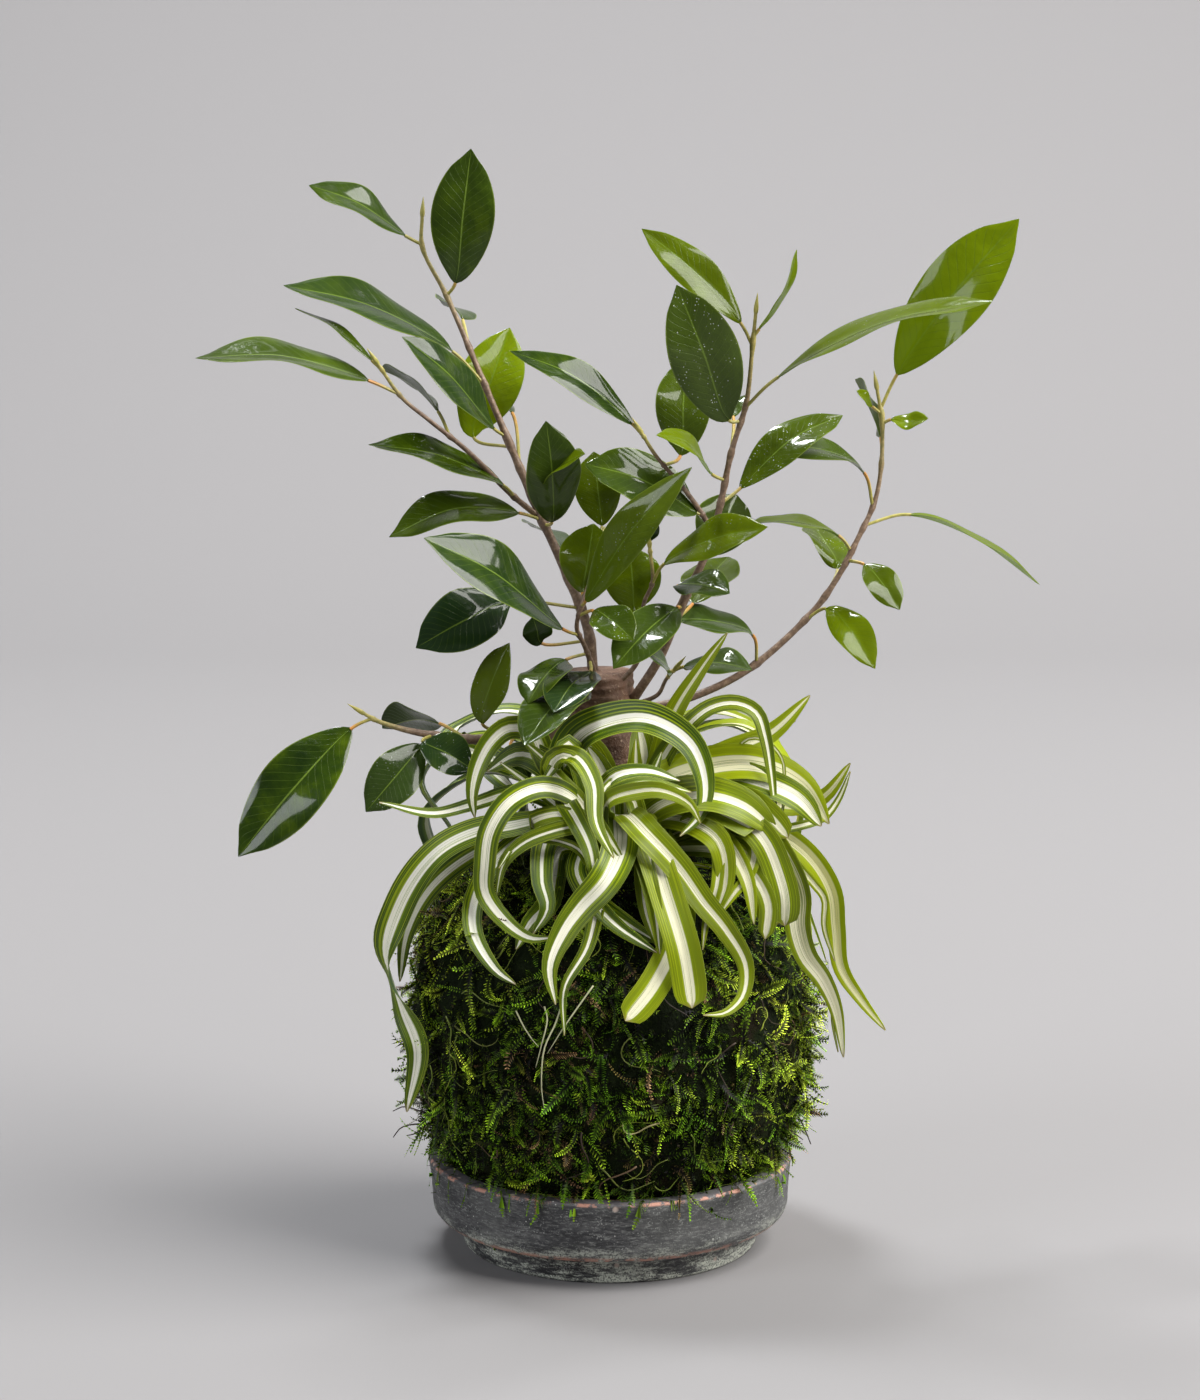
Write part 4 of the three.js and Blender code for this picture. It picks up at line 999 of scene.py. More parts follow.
# Fig stems: radius at each stem's start, its route, and its leaves. A leaf is [share of the stem, base of the
# rib, tip, width, tilt, turn, bend], where turn and bend may be left out.
FIG_STEMS = {
    "fig_stem_left": [
        dict(radius=2.6, route=[[-6, 3, 208], [-8, 3, 228], [-17, 6, 251], [-27, 8, 273], [-33, 10, 287],
            [-44, 12, 313], [-59, 16, 348], [-68, 18, 366], [-68, 19, 377]], leaves=[
            [0.94, [-74, 17, 370], [-108, 10, 388], 17, 28],
            [0.83, [-56, 14, 353], [-50, 14, 401], 22, 90, 0, 0.04],
            [0.64, [-57, 8, 329], [-116, -8, 353], 24, 25],
            [0.53, [-42, 8, 301], [-74, -10, 335], 20, 35],
            [0.51, [-50, 20, 297], [-37, 36, 336], 22, 75],
            [0.35, [-33, 2, 271], [-79, -14, 264], 21, 30, 0, 0.14],
            [0.16, [-36, -8, 240], [-69, -28, 226], 22, 62],
            [0.34, [-21, 0, 268], [-23, -8, 305], 20, 88, 20],
            [0.4, [-25, 2, 281], [-9, -16, 294], 14, 35],
            [0.09, [-25, -2, 224], [-28, -4, 234], 10, 80],
            [0.22, [-18, 18, 256], [-30, 44, 262], 20, 40, 180],
            [0.46, [-36, 22, 306], [-58, 44, 312], 18, 35, 190],
            [0.72, [-54, 24, 340], [-62, 48, 344], 16, 45, 170],
        ]),
        dict(radius=1.5, route=[[-26, 8, 269], [-36, 2, 278], [-51, -6, 294], [-65, -12, 306],
            [-74, -16, 314], [-82, -20, 326]], leaves=[
            [0.84, [-85, -20, 320], [-144, -38, 329], 24, 20],
            [0.97, [-84, -19, 327], [-112, -8, 345], 6, 5],
            [0.15, [-38, -2, 281], [-86, -14, 297], 22, 20],
            [0.55, [-62, 0, 308], [-84, 20, 322], 18, 30, 160],
        ]),
    ],
    "fig_stem_right": [
        dict(radius=2.4, route=[[8, -3, 203], [18, -9, 220], [26, -12, 240], [35, -14, 260], [39, -15, 275],
            [43, -17, 295], [48, -18, 312], [50, -20, 332], [51, -21, 344]], leaves=[
            [0.42, [35, -8, 257], [46, 8, 277], 20, 80],
            [0.92, [46, -20, 340], [11, -14, 373], 14, 50],
            [0.74, [42, -20, 306], [23, -30, 354], 24, 85],
            [0.59, [36, -20, 287], [16, -34, 302], 14, 30, 0, 0.2],
            [0.78, [58, -24, 321], [131, -48, 349], 22, 17],
            [0.54, [46, -12, 281], [84, 6, 306], 16, 35, 0, 0.12],
            [0.3, [24, -18, 247], [42, -32, 246], 16, 30],
            [0.27, [24, -17, 239], [1, -44, 221], 18, 45],
            [0.94, [52, -21, 338], [65, -24, 366], 10, 88, 75],
            [0.24, [30, 2, 238], [44, 28, 252], 20, 40, 150],
            [0.66, [44, -4, 306], [36, 20, 322], 18, 45, 190],
        ]),
        dict(radius=1.3, route=[[37, -14, 264], [33, -17, 272], [26, -20, 282], [16, -24, 294],
            [11, -26, 302]], leaves=[
            [0.21, [31, -18, 273], [-9, -24, 291], 24, 42, 0, 0.1],
            [0.7, [25, -12, 293], [27, 2, 327], 19, 88],
            [0.97, [8, -26, 305], [-35, -30, 331], 14, 40, 0, 0.12],
        ]),
    ],
    "fig_stem_far_right": [
        dict(radius=2, route=[[12, 3, 199], [30, 6, 203], [51, 9, 213], [74, 14, 233], [83, 16, 245],
            [90, 18, 258], [98, 22, 276], [100, 26, 301], [98, 27, 314]], leaves=[
            [0.95, [105, 27, 319], [148, 20, 376], 26, 75, -20],
            [0.73, [93, 18, 284], [55, -6, 293], 18, 28, 0, 0.14],
            [0.94, [96, 24, 308], [90, 20, 314], 5, 40],
            [0.92, [103, 25, 303], [116, 18, 304], 8, 40, 0, -0.1],
            [0.68, [110, 26, 268], [160, 34, 241], 18, 5],
            [0.62, [84, 16, 261], [51, 6, 267], 16, 10],
            [0.59, [93, 13, 251], [105, 0, 236], 12, 42],
            [0.43, [79, 11, 235], [96, -4, 215], 13, 48, 0, 0.16],
            [0.28, [52, 5, 226], [22, -4, 233], 18, 22],
            [0.5, [84, 24, 248], [76, 50, 262], 18, 40, 190],
            [0.83, [100, 32, 296], [92, 54, 316], 18, 45, 180],
        ]),
    ],
    "fig_stem_front": [
        dict(radius=1.3, route=[[-3, -6, 206], [-9, -13, 224], [-12, -18, 232], [-10, -21, 241],
            [-6, -14, 252], [-3, 0, 262]], leaves=[
            [0.37, [-17, -22, 232], [-65, -44, 267], 25, 35],
            [0.98, [-3, 6, 266], [-6, 16, 292], 16, 88],
            [0.55, [-9, -25, 242], [28, -48, 292], 16, 65, -25],
            [0.6, [-10, -16, 244], [-6, -6, 268], 20, 88],
            [0.5, [-6, -25, 239], [8, -44, 231], 14, 50],
            [0.2, [-7, -17, 216], [-20, -47, 206], 18, 35, -15],
            [0.17, [-9, -16, 211], [-30, -58, 196], 20, 30, -15],
            [0.25, [-16, -16, 220], [-29, -40, 208], 18, 50, -30],
        ]),
    ],
    "fig_stem_middle": [
        dict(radius=1.3, route=[[1, -6, 208], [10, -10, 219], [12, -14, 240], [15, -16, 248],
            [14, -18, 261]], leaves=[
            [0.55, [9, -7, 236], [7, 4, 259], 20, 88],
            [0.97, [14, -18, 263], [15, -21, 272], 5, 80],
            [0.76, [19, -20, 255], [55, -36, 270], 18, 38],
        ]),
    ],
    "fig_stem_low_left": [
        dict(radius=3.6, route=[[-16, -2, 194], [-31, -7, 195], [-44, -14, 191], [-68, -20, 194],
            [-83, -24, 199], [-88, -25, 202]], leaves=[
            [0.32, [-46, -17, 197], [-36, -22, 227], 14, 75, -30],
            [0.64, [-67, -22, 190], [-87, -34, 168], 17, 78],
            [0.66, [-67, -26, 192], [-49, -28, 182], 15, 55],
            [0.95, [-92, -26, 197], [-132, -40, 153], 24, 62],
            [0.19, [-36, -18, 189], [-29, -24, 178], 10, 62],
            [0.5, [-62, -10, 196], [-84, 14, 190], 18, 40, 160],
        ]),
    ],
    "fig_stem_low_right": [
        dict(radius=1.2, route=[[7, -8, 202], [17, -14, 207], [20, -17, 213], [23, -19, 217]], leaves=[
            [0.84, [21, -21, 217], [12, -36, 226], 12, 48],
            [0.97, [26, -20, 218], [50, -34, 219], 16, 25],
        ]),
    ],
}

# Strap leaves in front: [width, directions that it faces along its route, route from the crown, blunt],
# where blunt may be left out
FRONT_CROWN = (3, -CROWN_OFFSET)
FRONT_STRAPS = [
    [17, [SKY, SKY, SKY, FRONT, FRONT], [[-14, -32, 178], [-12, -37, 194], [0, -44, 202], [14, -50, 204],
        [28, -54, 196], [33, -57, 182], [31, -60, 172], [24, -63, 165]], 1.8],
    [8.5, [AWAY, SKY, FRONT, FRONT, FRONT], [[-13, -46, 175], [-24, -52, 180], [-35, -56, 176],
        [-42, -57, 166], [-44, -56, 154], [-44, -54, 143], [-38, -58, 135], [-28, -68, 130],
        [-20, -72, 131]]],
    [14, [AWAY, SKY, FRONT, FRONT], [[3, -50, 170], [3, -64, 160], [-2, -72, 151], [-10, -72, 142],
        [-16, -74, 134], [-21, -77, 122], [-19, -79, 109]], 2.4],
    [12, [AWAY, SKY, FRONT, FRONT, FRONT], [[5, -54, 171], [13, -66, 166], [24, -66, 154], [32, -68, 143],
        [40, -68, 133], [47, -67, 120], [46, -70, 110], [40, -74, 105], [32, -78, 105]], 1.8],
    [12, [AWAY, SKY, FRONT, FRONT], [[9, -48, 168], [15, -64, 158], [20, -70, 144], [25, -76, 128],
        [27, -78, 117], [28, -80, 108]], 12],
    [11, [AWAY, SKY, FRONT, FRONT], [[14, -47, 164], [21, -58, 152], [24, -66, 137], [21, -71, 126],
        [14, -77, 114], [5, -82, 104]], 12],
    [11, [FRONT, SKY, SKY, SKY, FRONT, SIDE, FRONT, FRONT], [[-22, -42, 166], [-36, -46, 165],
        [-49, -44, 162], [-61, -42, 155], [-73, -38, 139], [-80, -35, 118], [-78, -35, 107], [-74, -36, 96],
        [-69, -40, 82], [-73, -42, 60]], 8],
    [8, [FRONT, SKY, FRONT, FRONT], [[-30, -36, 160], [-47, -36, 154], [-64, -31, 140], [-73, -28, 123],
        [-76, -26, 104]]],
    [8, [FRONT, SKY, SKY, SKY], [[-22, -34, 172], [-34, -36, 175], [-49, -37, 171], [-63, -37, 168],
        [-82, -37, 172]], 2],
    [9, [FRONT, SKY, FRONT, FRONT], [[-22, -31, 184], [-28, -31, 196], [-36, -33, 198], [-42, -36, 194],
        [-47, -38, 185], [-49, -40, 175], [-48, -40, 167]]],
    [12, [FRONT, FRONT, FRONT], [[-1, -35, 174], [-8, -31, 190], [-20, -28, 194]], 8],
    [12, [FRONT, FRONT, FRONT], [[9, -35, 172], [12, -33, 188], [10, -29, 199]], 8],
    [12, [FRONT, FRONT, LEFT], [[-9, -34, 170], [-20, -33, 183], [-32, -29, 188], [-44, -25, 181]]],
    [9, [FRONT, FRONT, FRONT], [[16, -34, 182], [22, -35, 203], [32, -37, 220], [41, -39, 233]], 2.5],
    [9, [FRONT, SKY, SKY, FRONT, RIGHT], [[18, -38, 187], [26, -42, 199], [35, -44, 207], [44, -46, 209],
        [51, -48, 206], [54, -50, 198], [56, -52, 186], [58, -54, 166]], 1.6],
    [9, [FRONT, FRONT, FRONT], [[26, -36, 182], [42, -34, 190], [57, -31, 196], [71, -28, 209]]],
    [15, [FRONT, SKY, SKY, FRONT], [[16, -40, 177], [32, -44, 185], [51, -46, 187], [67, -46, 180],
        [77, -46, 166]]],
    [8, [FRONT, SKY, FRONT, FRONT], [[28, -32, 170], [48, -34, 173], [66, -34, 170], [76, -35, 174],
        [85, -36, 186]]],
    [15, [FRONT, SKY, SKY, FRONT], [[16, -48, 172], [32, -56, 178], [46, -58, 175], [58, -56, 165]], 6],
    [11, [FRONT, SKY, FRONT, FRONT, FRONT], [[26, -48, 168], [44, -53, 169], [54, -55, 163], [61, -54, 153],
        [66, -48, 140], [66, -48, 130], [69, -46, 119], [76, -40, 108], [81, -36, 96], [84, -34, 78]], 3],
    [8, [FRONT, SKY, FRONT, FRONT, FRONT], [[36, -34, 164], [56, -36, 162], [70, -34, 153], [79, -32, 139],
        [81, -30, 125], [83, -30, 110], [90, -32, 99], [99, -34, 88]]],
    [10, [AWAY, SKY, FRONT, FRONT], [[20, -50, 169], [37, -63, 164], [40, -64, 150], [37, -66, 139]]],
    [11, [FRONT, SKY, FRONT, FRONT], [[28, -40, 164], [46, -48, 156], [54, -52, 144], [58, -54, 131]], 12],
    [9, [FRONT, SKY, FRONT, FRONT], [[32, -26, 160], [52, -26, 154], [64, -28, 142], [72, -28, 124]]],
    [6, [AWAY, SKY, FRONT, LEFT], [[-5, -50, 166], [-12, -56, 167], [-20, -59, 166], [-30, -59, 162],
        [-37, -58, 155], [-40, -54, 142]]],
    [9, [AWAY, SKY, FRONT, FRONT], [[-10, -42, 168], [-22, -50, 162], [-24, -60, 149], [-22, -65, 140],
        [-27, -66, 131]]],
    [7, [AWAY, SKY, FRONT, FRONT], [[-6, -46, 161], [-12, -58, 152], [-6, -67, 143], [2, -70, 135],
        [16, -73, 126]]],
    [8, [AWAY, SKY, FRONT, FRONT], [[-16, -46, 174], [-12, -58, 170], [-7, -68, 161], [-5, -71, 147]]],
    [8, [FRONT, SKY, FRONT, FRONT], [[-24, -40, 162], [-40, -46, 153], [-48, -50, 139], [-48, -55, 129],
        [-40, -65, 118], [-33, -70, 114]]],
    [8, [AWAY, SKY, FRONT, FRONT], [[2, -52, 160], [-3, -64, 148], [-8, -72, 128], [-16, -76, 114],
        [-16, -79, 98]], 1.4],
    [7, [AWAY, SKY, FRONT, FRONT], [[8, -52, 164], [12, -66, 155], [15, -71, 143], [17, -75, 126]]],
    [6, [AWAY, FRONT, FRONT], [[10, -32, 174], [20, -32, 190], [29, -31, 197]]],
    [7, [AWAY, SKY, SKY, SKY], [[-5, -48, 170], [-3, -54, 179], [2, -56, 185], [13, -58, 187],
        [24, -60, 184]]],
    [7, [AWAY, FRONT, SKY, FRONT, FRONT], [[-2, -54, 170], [0, -64, 178], [8, -70, 182], [17, -72, 183],
        [27, -70, 178], [31, -70, 171]]],
    [8, [AWAY, SKY, SKY, FRONT], [[-20, -40, 180], [-20, -45, 189], [-12, -52, 191], [-6, -60, 183],
        [-5, -68, 171], [1, -76, 160]]],
]

# More, narrower strap leaves inside the clump and over its right side
INNER_STRAPS = [
    [6.5, [AWAY, SKY, FRONT, FRONT], [[8, -50, 175], [11, -61, 162], [11, -66, 150], [12, -68, 140],
        [16, -68, 127]]],
    [7, [FRONT, SKY, SKY, AWAY], [[-28, -50, 167], [-17, -54, 171], [-10, -57, 167], [-5, -61, 160],
        [-4, -65, 147]]],
    [3.4, [FRONT, FRONT, FRONT], [[-6, -56, 152], [-11, -57, 159], [-17, -58, 162], [-25, -58, 163],
        [-33, -58, 161], [-39, -60, 153]]],
    [9.5, [SKY, FRONT, FRONT, FRONT], [[-18, -46, 157], [-20, -53, 149], [-22, -59, 140], [-28, -62, 134],
        [-33, -64, 125]]],
    [8, [AWAY, FRONT, FRONT, FRONT], [[-12, -52, 153], [-10, -59, 147], [-4, -64, 141], [4, -67, 136],
        [17, -68, 128]]],
    [9.5, [FRONT, SKY, FRONT], [[-8, -40, 178], [-15, -42, 194], [-19, -46, 188], [-24, -48, 181]], 3],
    [5, [FRONT, FRONT, FRONT], [[-13, -38, 173], [-21, -37, 185], [-32, -36, 195]]],
    [4, [FRONT, FRONT, FRONT], [[-16, -40, 169], [-27, -40, 178], [-39, -40, 187]]],
    [8.5, [FRONT, FRONT, FRONT], [[-1, -38, 178], [-4, -38, 186], [-8, -36, 192]], 6],
    [7.5, [FRONT, FRONT, FRONT], [[9, -40, 177], [9, -40, 186], [9, -38, 195]], 3],
    [5, [FRONT, FRONT, FRONT], [[10, -42, 170], [14, -44, 181], [18, -42, 191]]],
    [3.4, [FRONT, SKY, FRONT, FRONT], [[5, -50, 175], [2, -54, 183], [-2, -58, 181], [-4, -60, 170]]],
    [4.5, [FRONT, SKY, SKY, SKY], [[-3, -58, 167], [-2, -60, 176], [2, -62, 181], [12, -62, 184],
        [28, -60, 180]], 8],
    [6, [FRONT, SKY, SKY, FRONT, FRONT], [[-11, -44, 174], [-21, -46, 186], [-16, -50, 191], [-10, -54, 187],
        [-6, -58, 182], [-7, -61, 175], [-2, -64, 167], [5, -66, 156]]],
    [11.5, [FRONT, SKY, SKY, FRONT], [[28, -42, 177], [42, -46, 183], [55, -50, 181], [66, -52, 176],
        [74, -50, 166]], 8],
    [12.5, [FRONT, SKY, SKY], [[23, -48, 171], [32, -54, 175], [41, -57, 172], [51, -58, 167]], 14],
    [9.5, [FRONT, SKY, FRONT], [[38, -50, 172], [47, -54, 176], [54, -56, 172], [62, -56, 163]], 10],
    [7.5, [FRONT, FRONT, FRONT], [[28, -34, 172], [42, -32, 186], [54, -30, 194], [66, -28, 200]], 3],
    [1.6, [FRONT, FRONT, FRONT], [[39, -40, 184], [48, -44, 196], [54, -46, 196], [60, -48, 190],
        [61, -48, 182], [60, -50, 170], [57, -50, 164]]],
    [10.5, [SKY, SKY, FRONT, FRONT], [[40, -50, 168], [49, -56, 167], [54, -59, 162], [58, -59, 153],
        [61, -59, 142], [61, -58, 132]], 12],
    [6.5, [SKY, SKY, FRONT, FRONT], [[37, -54, 158], [45, -58, 155], [51, -60, 149], [55, -61, 140],
        [54, -61, 128]], 10],
    [5, [SKY, SKY, FRONT, FRONT], [[28, -52, 170], [33, -57, 169], [37, -62, 160], [37, -65, 149],
        [33, -68, 135], [32, -69, 126]]],
    [7.5, [SKY, SKY, FRONT, FRONT], [[31, -50, 166], [39, -57, 163], [44, -60, 157], [48, -63, 148],
        [50, -64, 134]]],
    [6, [SKY, SKY, FRONT, FRONT], [[44, -52, 164], [50, -57, 160], [48, -61, 151], [43, -64, 145],
        [38, -66, 138]]],
    [3.6, [SKY, SKY, FRONT, FRONT], [[51, -44, 162], [60, -46, 158], [66, -46, 151], [72, -44, 144],
        [76, -42, 138], [76, -42, 128], [80, -40, 115]]],
    [4, [FRONT, SKY, FRONT], [[67, -40, 164], [76, -38, 167], [81, -36, 173], [85, -36, 183]]],
    [1.8, [FRONT, FRONT, FRONT], [[66, -46, 140], [72, -42, 118], [79, -37, 100], [80, -34, 90],
        [82, -34, 80]]],
]

# Strap leaves behind: where their crown stands, and how many there are
BACK_CROWN = (-2, CROWN_OFFSET + 1)
BACK_COUNT = 13

# Fig stems: radius of their thin ends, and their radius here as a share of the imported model's
STEM_END = 0.8
STEM_SHARE = 0.77

# Places across a blade, as shares of its half width, closer together at the rib, and how many rows a
# fig leaf has along it
ACROSS = np.array([-1, -0.86, -0.66, -0.44, -0.24, -0.09, 0, 0.09, 0.24, 0.44, 0.66, 0.86, 1])
LEAF_ROWS = 34

# How far a fig leaf folds up from its rib, droops again towards its margin, waves and sweeps forward
FOLD, DROOP, WAVE, SWEEP = 0.26, 0.12, 0.10, 0.015

# Thickness of a fig leaf, what the rib adds to it at the base, and radius of its stalk
LEAF_THICK, RIB_EXTRA, STALK_RADIUS = 0.34, 0.55, 0.62

# How far light comes through single leaves, and how far they are painted the yellow-green of that light, by
# where their tips lie
LIGHT_LEAVES = {
    (-37, 36, 336): 0.85, (-9, -16, 294): 0.6, (11, -14, 373): 0.42, (131, -48, 349): 0.5,
    (148, 20, 376): 0.8, (116, 18, 304): 0.8, (90, 20, 314): 0.7, (160, 34, 241): 0.7,
    (96, -4, 215): 0.8, (51, 6, 267): 0.5, (84, 6, 306): 0.22, (16, -34, 302): 0.7,
    (28, -48, 292): 0.25, (-36, -22, 227): 0.45, (-6, 16, 292): 0.4, (-6, -6, 268): 0.35,
    (7, 4, 259): 0.3, (55, -36, 270): 0.45, (65, -24, 366): 0.7, (27, 2, 327): 0.25,
}

# Leaves by where their tips lie: how far each is painted a darker blue-green, as painted shade with a painted
# blue-grey sheen, and how plain its mineral flecks
SHADE_AND_FLECK_LEAVES = {
    (23, -30, 354): (0.8, 0.9), (84, 6, 306): (0.2, 0.9), (27, 2, 327): (0.5, 0.5),
    (-69, -28, 226): (0.9, 0.0), (-87, -34, 168): (0.9, 0.3), (-36, -22, 227): (0.3, 0.8),
    (8, -44, 231): (0.2, 0.7), (-23, -8, 305): (0.7, 0.0), (-132, -40, 153): (0.15, 0.0),
    (-144, -38, 329): (0.5, 0.0), (131, -48, 349): (0.0, 0.4),
}


def sunlit(leaf):
    """How far light comes through a leaf from behind, which also paints it yellow-green as painted light:
    what is listed for it, or else a little, and more to the right."""
    tip = tuple(leaf[2])
    return LIGHT_LEAVES.get(tip, float(np.clip(0.08 + 0.0015 * tip[0], 0.02, 0.3)))


def leaf_path(stem, leaf, face):
    """Stalk and rib of a fig leaf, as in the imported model: one curve from the stem through the blade's
    base and an arched crest to the tip. Gives the curve, where on it the blade starts, and the rib."""
    at, base, tip = leaf[0], np.array(leaf[1], float), np.array(leaf[2], float)
    bend = leaf[6] if len(leaf) > 6 else 0.08
    root = stem[int(round(at * (len(stem) - 1)))]
    crest = (base + tip) / 2 + bend * np.linalg.norm(tip - base) * face
    curve = spline([root, base, crest, tip], 160)
    cut = int(round(np.linalg.norm(root - base) / length_of(curve) * (len(curve) - 1)))
    rib = curve[cut:][np.linspace(0, len(curve) - 1 - cut, LEAF_ROWS).astype(int)]
    return curve, cut, spline(rib[::3], LEAF_ROWS)


def add_fig_leaf(body, draw, stem, leaf, sunny):
    """A fig leaf on its stalk. The blade is a grid along its rib: its half width is a power of sin(pi t)
    drawn out into a tip, folded up from the rib, with sine waves that grow towards the margin."""
    width, tilt = leaf[3:5]
    face = look(tilt, leaf[5] if len(leaf) > 5 else 0)
    curve, cut, path = leaf_path(stem, leaf, face)
    t = np.linspace(0, 1, LEAF_ROWS)[:, None]
    up, side = faced(path, [face, face])
    belly = np.sin(math.pi * t**0.97) ** 0.76 * (1 - 0.35 * smooth(t, 0.84, 1.0))
    half = (width / 2 + 0.4) * belly + 0.12
    s = ACROSS[None]
    ripple = draw.uniform(0, 6.28, 2)
    waves = np.where(s > 0, np.sin(9.5 * t + ripple[0]), np.sin(8.5 * t + ripple[1]))
    twist = draw.normal(0, 0.16) * (t - 0.4)
    lift = half * (FOLD * np.abs(s) ** 1.15 - DROOP * np.abs(s) ** 3 + WAVE * waves * s**2 + twist * s)
    sweep = SWEEP * length_of(curve[cut:]) * np.abs(s) ** 1.5 * np.sin(math.pi * t)
    grid = (path[:, None] + (half * s)[..., None] * side[:, None] + lift[..., None] * up[:, None]
            + sweep[..., None] * tangents(path)[:, None])
    thick = LEAF_THICK + RIB_EXTRA * np.exp(-(s / 0.07) ** 2) * (1 - 0.75 * t)
    dust = float(draw.uniform() < 0.14) * draw.uniform(0.3, 0.8)
    # Painted shade and a painted blue-grey sheen on leaves with little light behind them, then the listed
    # values
    cool = draw.uniform(0, 0.85) * (sunny < 0.3)
    cool, dust = SHADE_AND_FLECK_LEAVES.get(tuple(leaf[2]), (cool, dust))
    tone = np.clip(sunny + draw.normal(0, 0.05), 0, 1)
    add_blade(body, grid, up, thick, tone=tone, dust=dust, cool=cool)
    stalk = curve[:cut + 3]
    if len(stalk) > 3:
        stalk = stalk[::max(1, len(stalk) // 10)]
        orange = np.linspace(0.45, draw.uniform(0.55, 1.0), len(stalk))
        add_tube(body, stalk, STALK_RADIUS, 7, 1, tone=orange.repeat(7))


# Bud at a stem's end: length, and radius along it as a share of the stem's end
BUD_LENGTH = 7
BUD_SHAPE = np.array([1, 1.15, 1.1, 0.95, 0.75, 0.5, 0.28, 0.08])


def make_fig_stem(node_name, parts):
    """One leafy stem: each of its stems as a tapered tube with a knob, a narrow bell curve in its
    radius, where a leaf grows and a pointed bud at its end, and its leaves."""
    draw = np.random.default_rng(number_of(node_name))
    body = Body("tone", "under", "dust", "cool")
    for part in parts:
        path = spline(part["route"], 90)
        share = np.linspace(0, 1, len(path))
        radius = STEM_SHARE * (part["radius"] + (STEM_END - part["radius"]) * share)
        for leaf in part["leaves"]:
            radius = radius + 0.35 * np.exp(-((share - leaf[0]) / 0.012) ** 2)
        add_tube(body, path, radius, 10, 1, tone=smooth(share, 0.6, 1.0).repeat(10) * 0.4)
        bud = path[-1] + np.linspace(0, BUD_LENGTH, len(BUD_SHAPE))[:, None] * unit(path[-1] - path[-3])
        add_tube(body, bud, STEM_END * BUD_SHAPE, 8, 1, tone=0.5)
        for leaf in part["leaves"]:
            add_fig_leaf(body, draw, path, leaf, sunlit(leaf))
    piece = body.build(node_name + "_leaves", [FIG_LEAF, FIG_STEM], "fig_leaf", crisp=True)
    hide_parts(node_name)


def number_of(name):
    """A fixed number for a name: its letters' codes, each weighed by its place."""
    return sum((i + 1) * ord(letter) for i, letter in enumerate(name))


# A strap leaf this blunt or more has its tip cut off square. The rest taper by their bluntness.
CUT = 10
USUAL_BLUNT = 4.5

# Thickness of a strap leaf, and length of a step along it
STRAP_THICK, STRAP_STEP = 0.36, 2.4


def strap_half_width(t, width, blunt):
    """Half width of a strap leaf: narrower at the root, then a long taper, (1 - t^blunt)^0.75."""
    root = 0.2 + 0.8 * smooth(t, 0, 0.3)
    taper = np.maximum(0, 1 - t ** (blunt if blunt < CUT else 4 * blunt)) ** 0.75
    return 0.25 + (width / 2 - 0.25) * root * taper


def add_strap(body, draw, crown, strap):
    """A strap leaf: a grid along its route, whose half width follows its outline. Across it the leaf
    is a shallow gutter with a keel, a power of the place across, and its margins wave a little."""
    width, faces, route = strap[:3]
    blunt = strap[3] if len(strap) > 3 else USUAL_BLUNT
    aim = np.array(route[0][:2], float) - crown
    root = np.append(crown + aim * (CROWN_RADIUS - 3) / max(1, np.linalg.norm(aim)), CROWN_TOP - 4)
    rows = int(max(24, length_of(spline([root, *route], 60)) / STRAP_STEP))
    path = spline([root, *route], rows)
    up, side = faced(path, faces)
    t = np.linspace(0, 1, rows)[:, None]
    half = strap_half_width(t, width, blunt)
    s = ACROSS[None]
    phase = draw.uniform(0, 6.28)
    fold = 0.16 + 0.20 * np.sin(math.pi * t) ** 2 * draw.uniform(0.3, 1.0)
    lift = half * (fold * np.abs(s) ** 1.2 + 0.07 * s**2 * np.sin(9 * t + phase + 1.2 * s))
    grid = path[:, None] + (half * s)[..., None] * side[:, None] + lift[..., None] * up[:, None]
    right = path[rows // 2][0]
    # tone: yellower and brighter towards the right, as painted light from the key lamp on that side, with a
    # random spread
    tone = float(np.clip(0.30 + 0.0085 * right + draw.normal(0, 0.2), 0.0, 1.0))
    stripe = draw.uniform(0.25, 0.46) + 0.17 * float(smooth(right, 12, 60))
    add_blade(body, grid, up, STRAP_THICK, tone=tone, stripe=stripe, seed=draw.uniform())


def add_crown(body, crown):
    """Crown of the strap-leaf plant: a short tapered stump standing in the soil."""
    path = np.array([[*crown, z] for z in np.linspace(132, CROWN_TOP + 3, 8)], float)
    add_tube(body, path, CROWN_RADIUS - 2 * np.linspace(0, 1, 8), 16, tone=0.2, stripe=0.6)


def draw_for(leaf, purpose):
    """A draw between 0 and 1 that is the same each time for a leaf and a purpose: the digits far down
    in a sine of both."""
    wave = math.sin(12.9898 * leaf + 78.233 * purpose + SEED) * 43758.5453
    return wave - math.floor(wave)


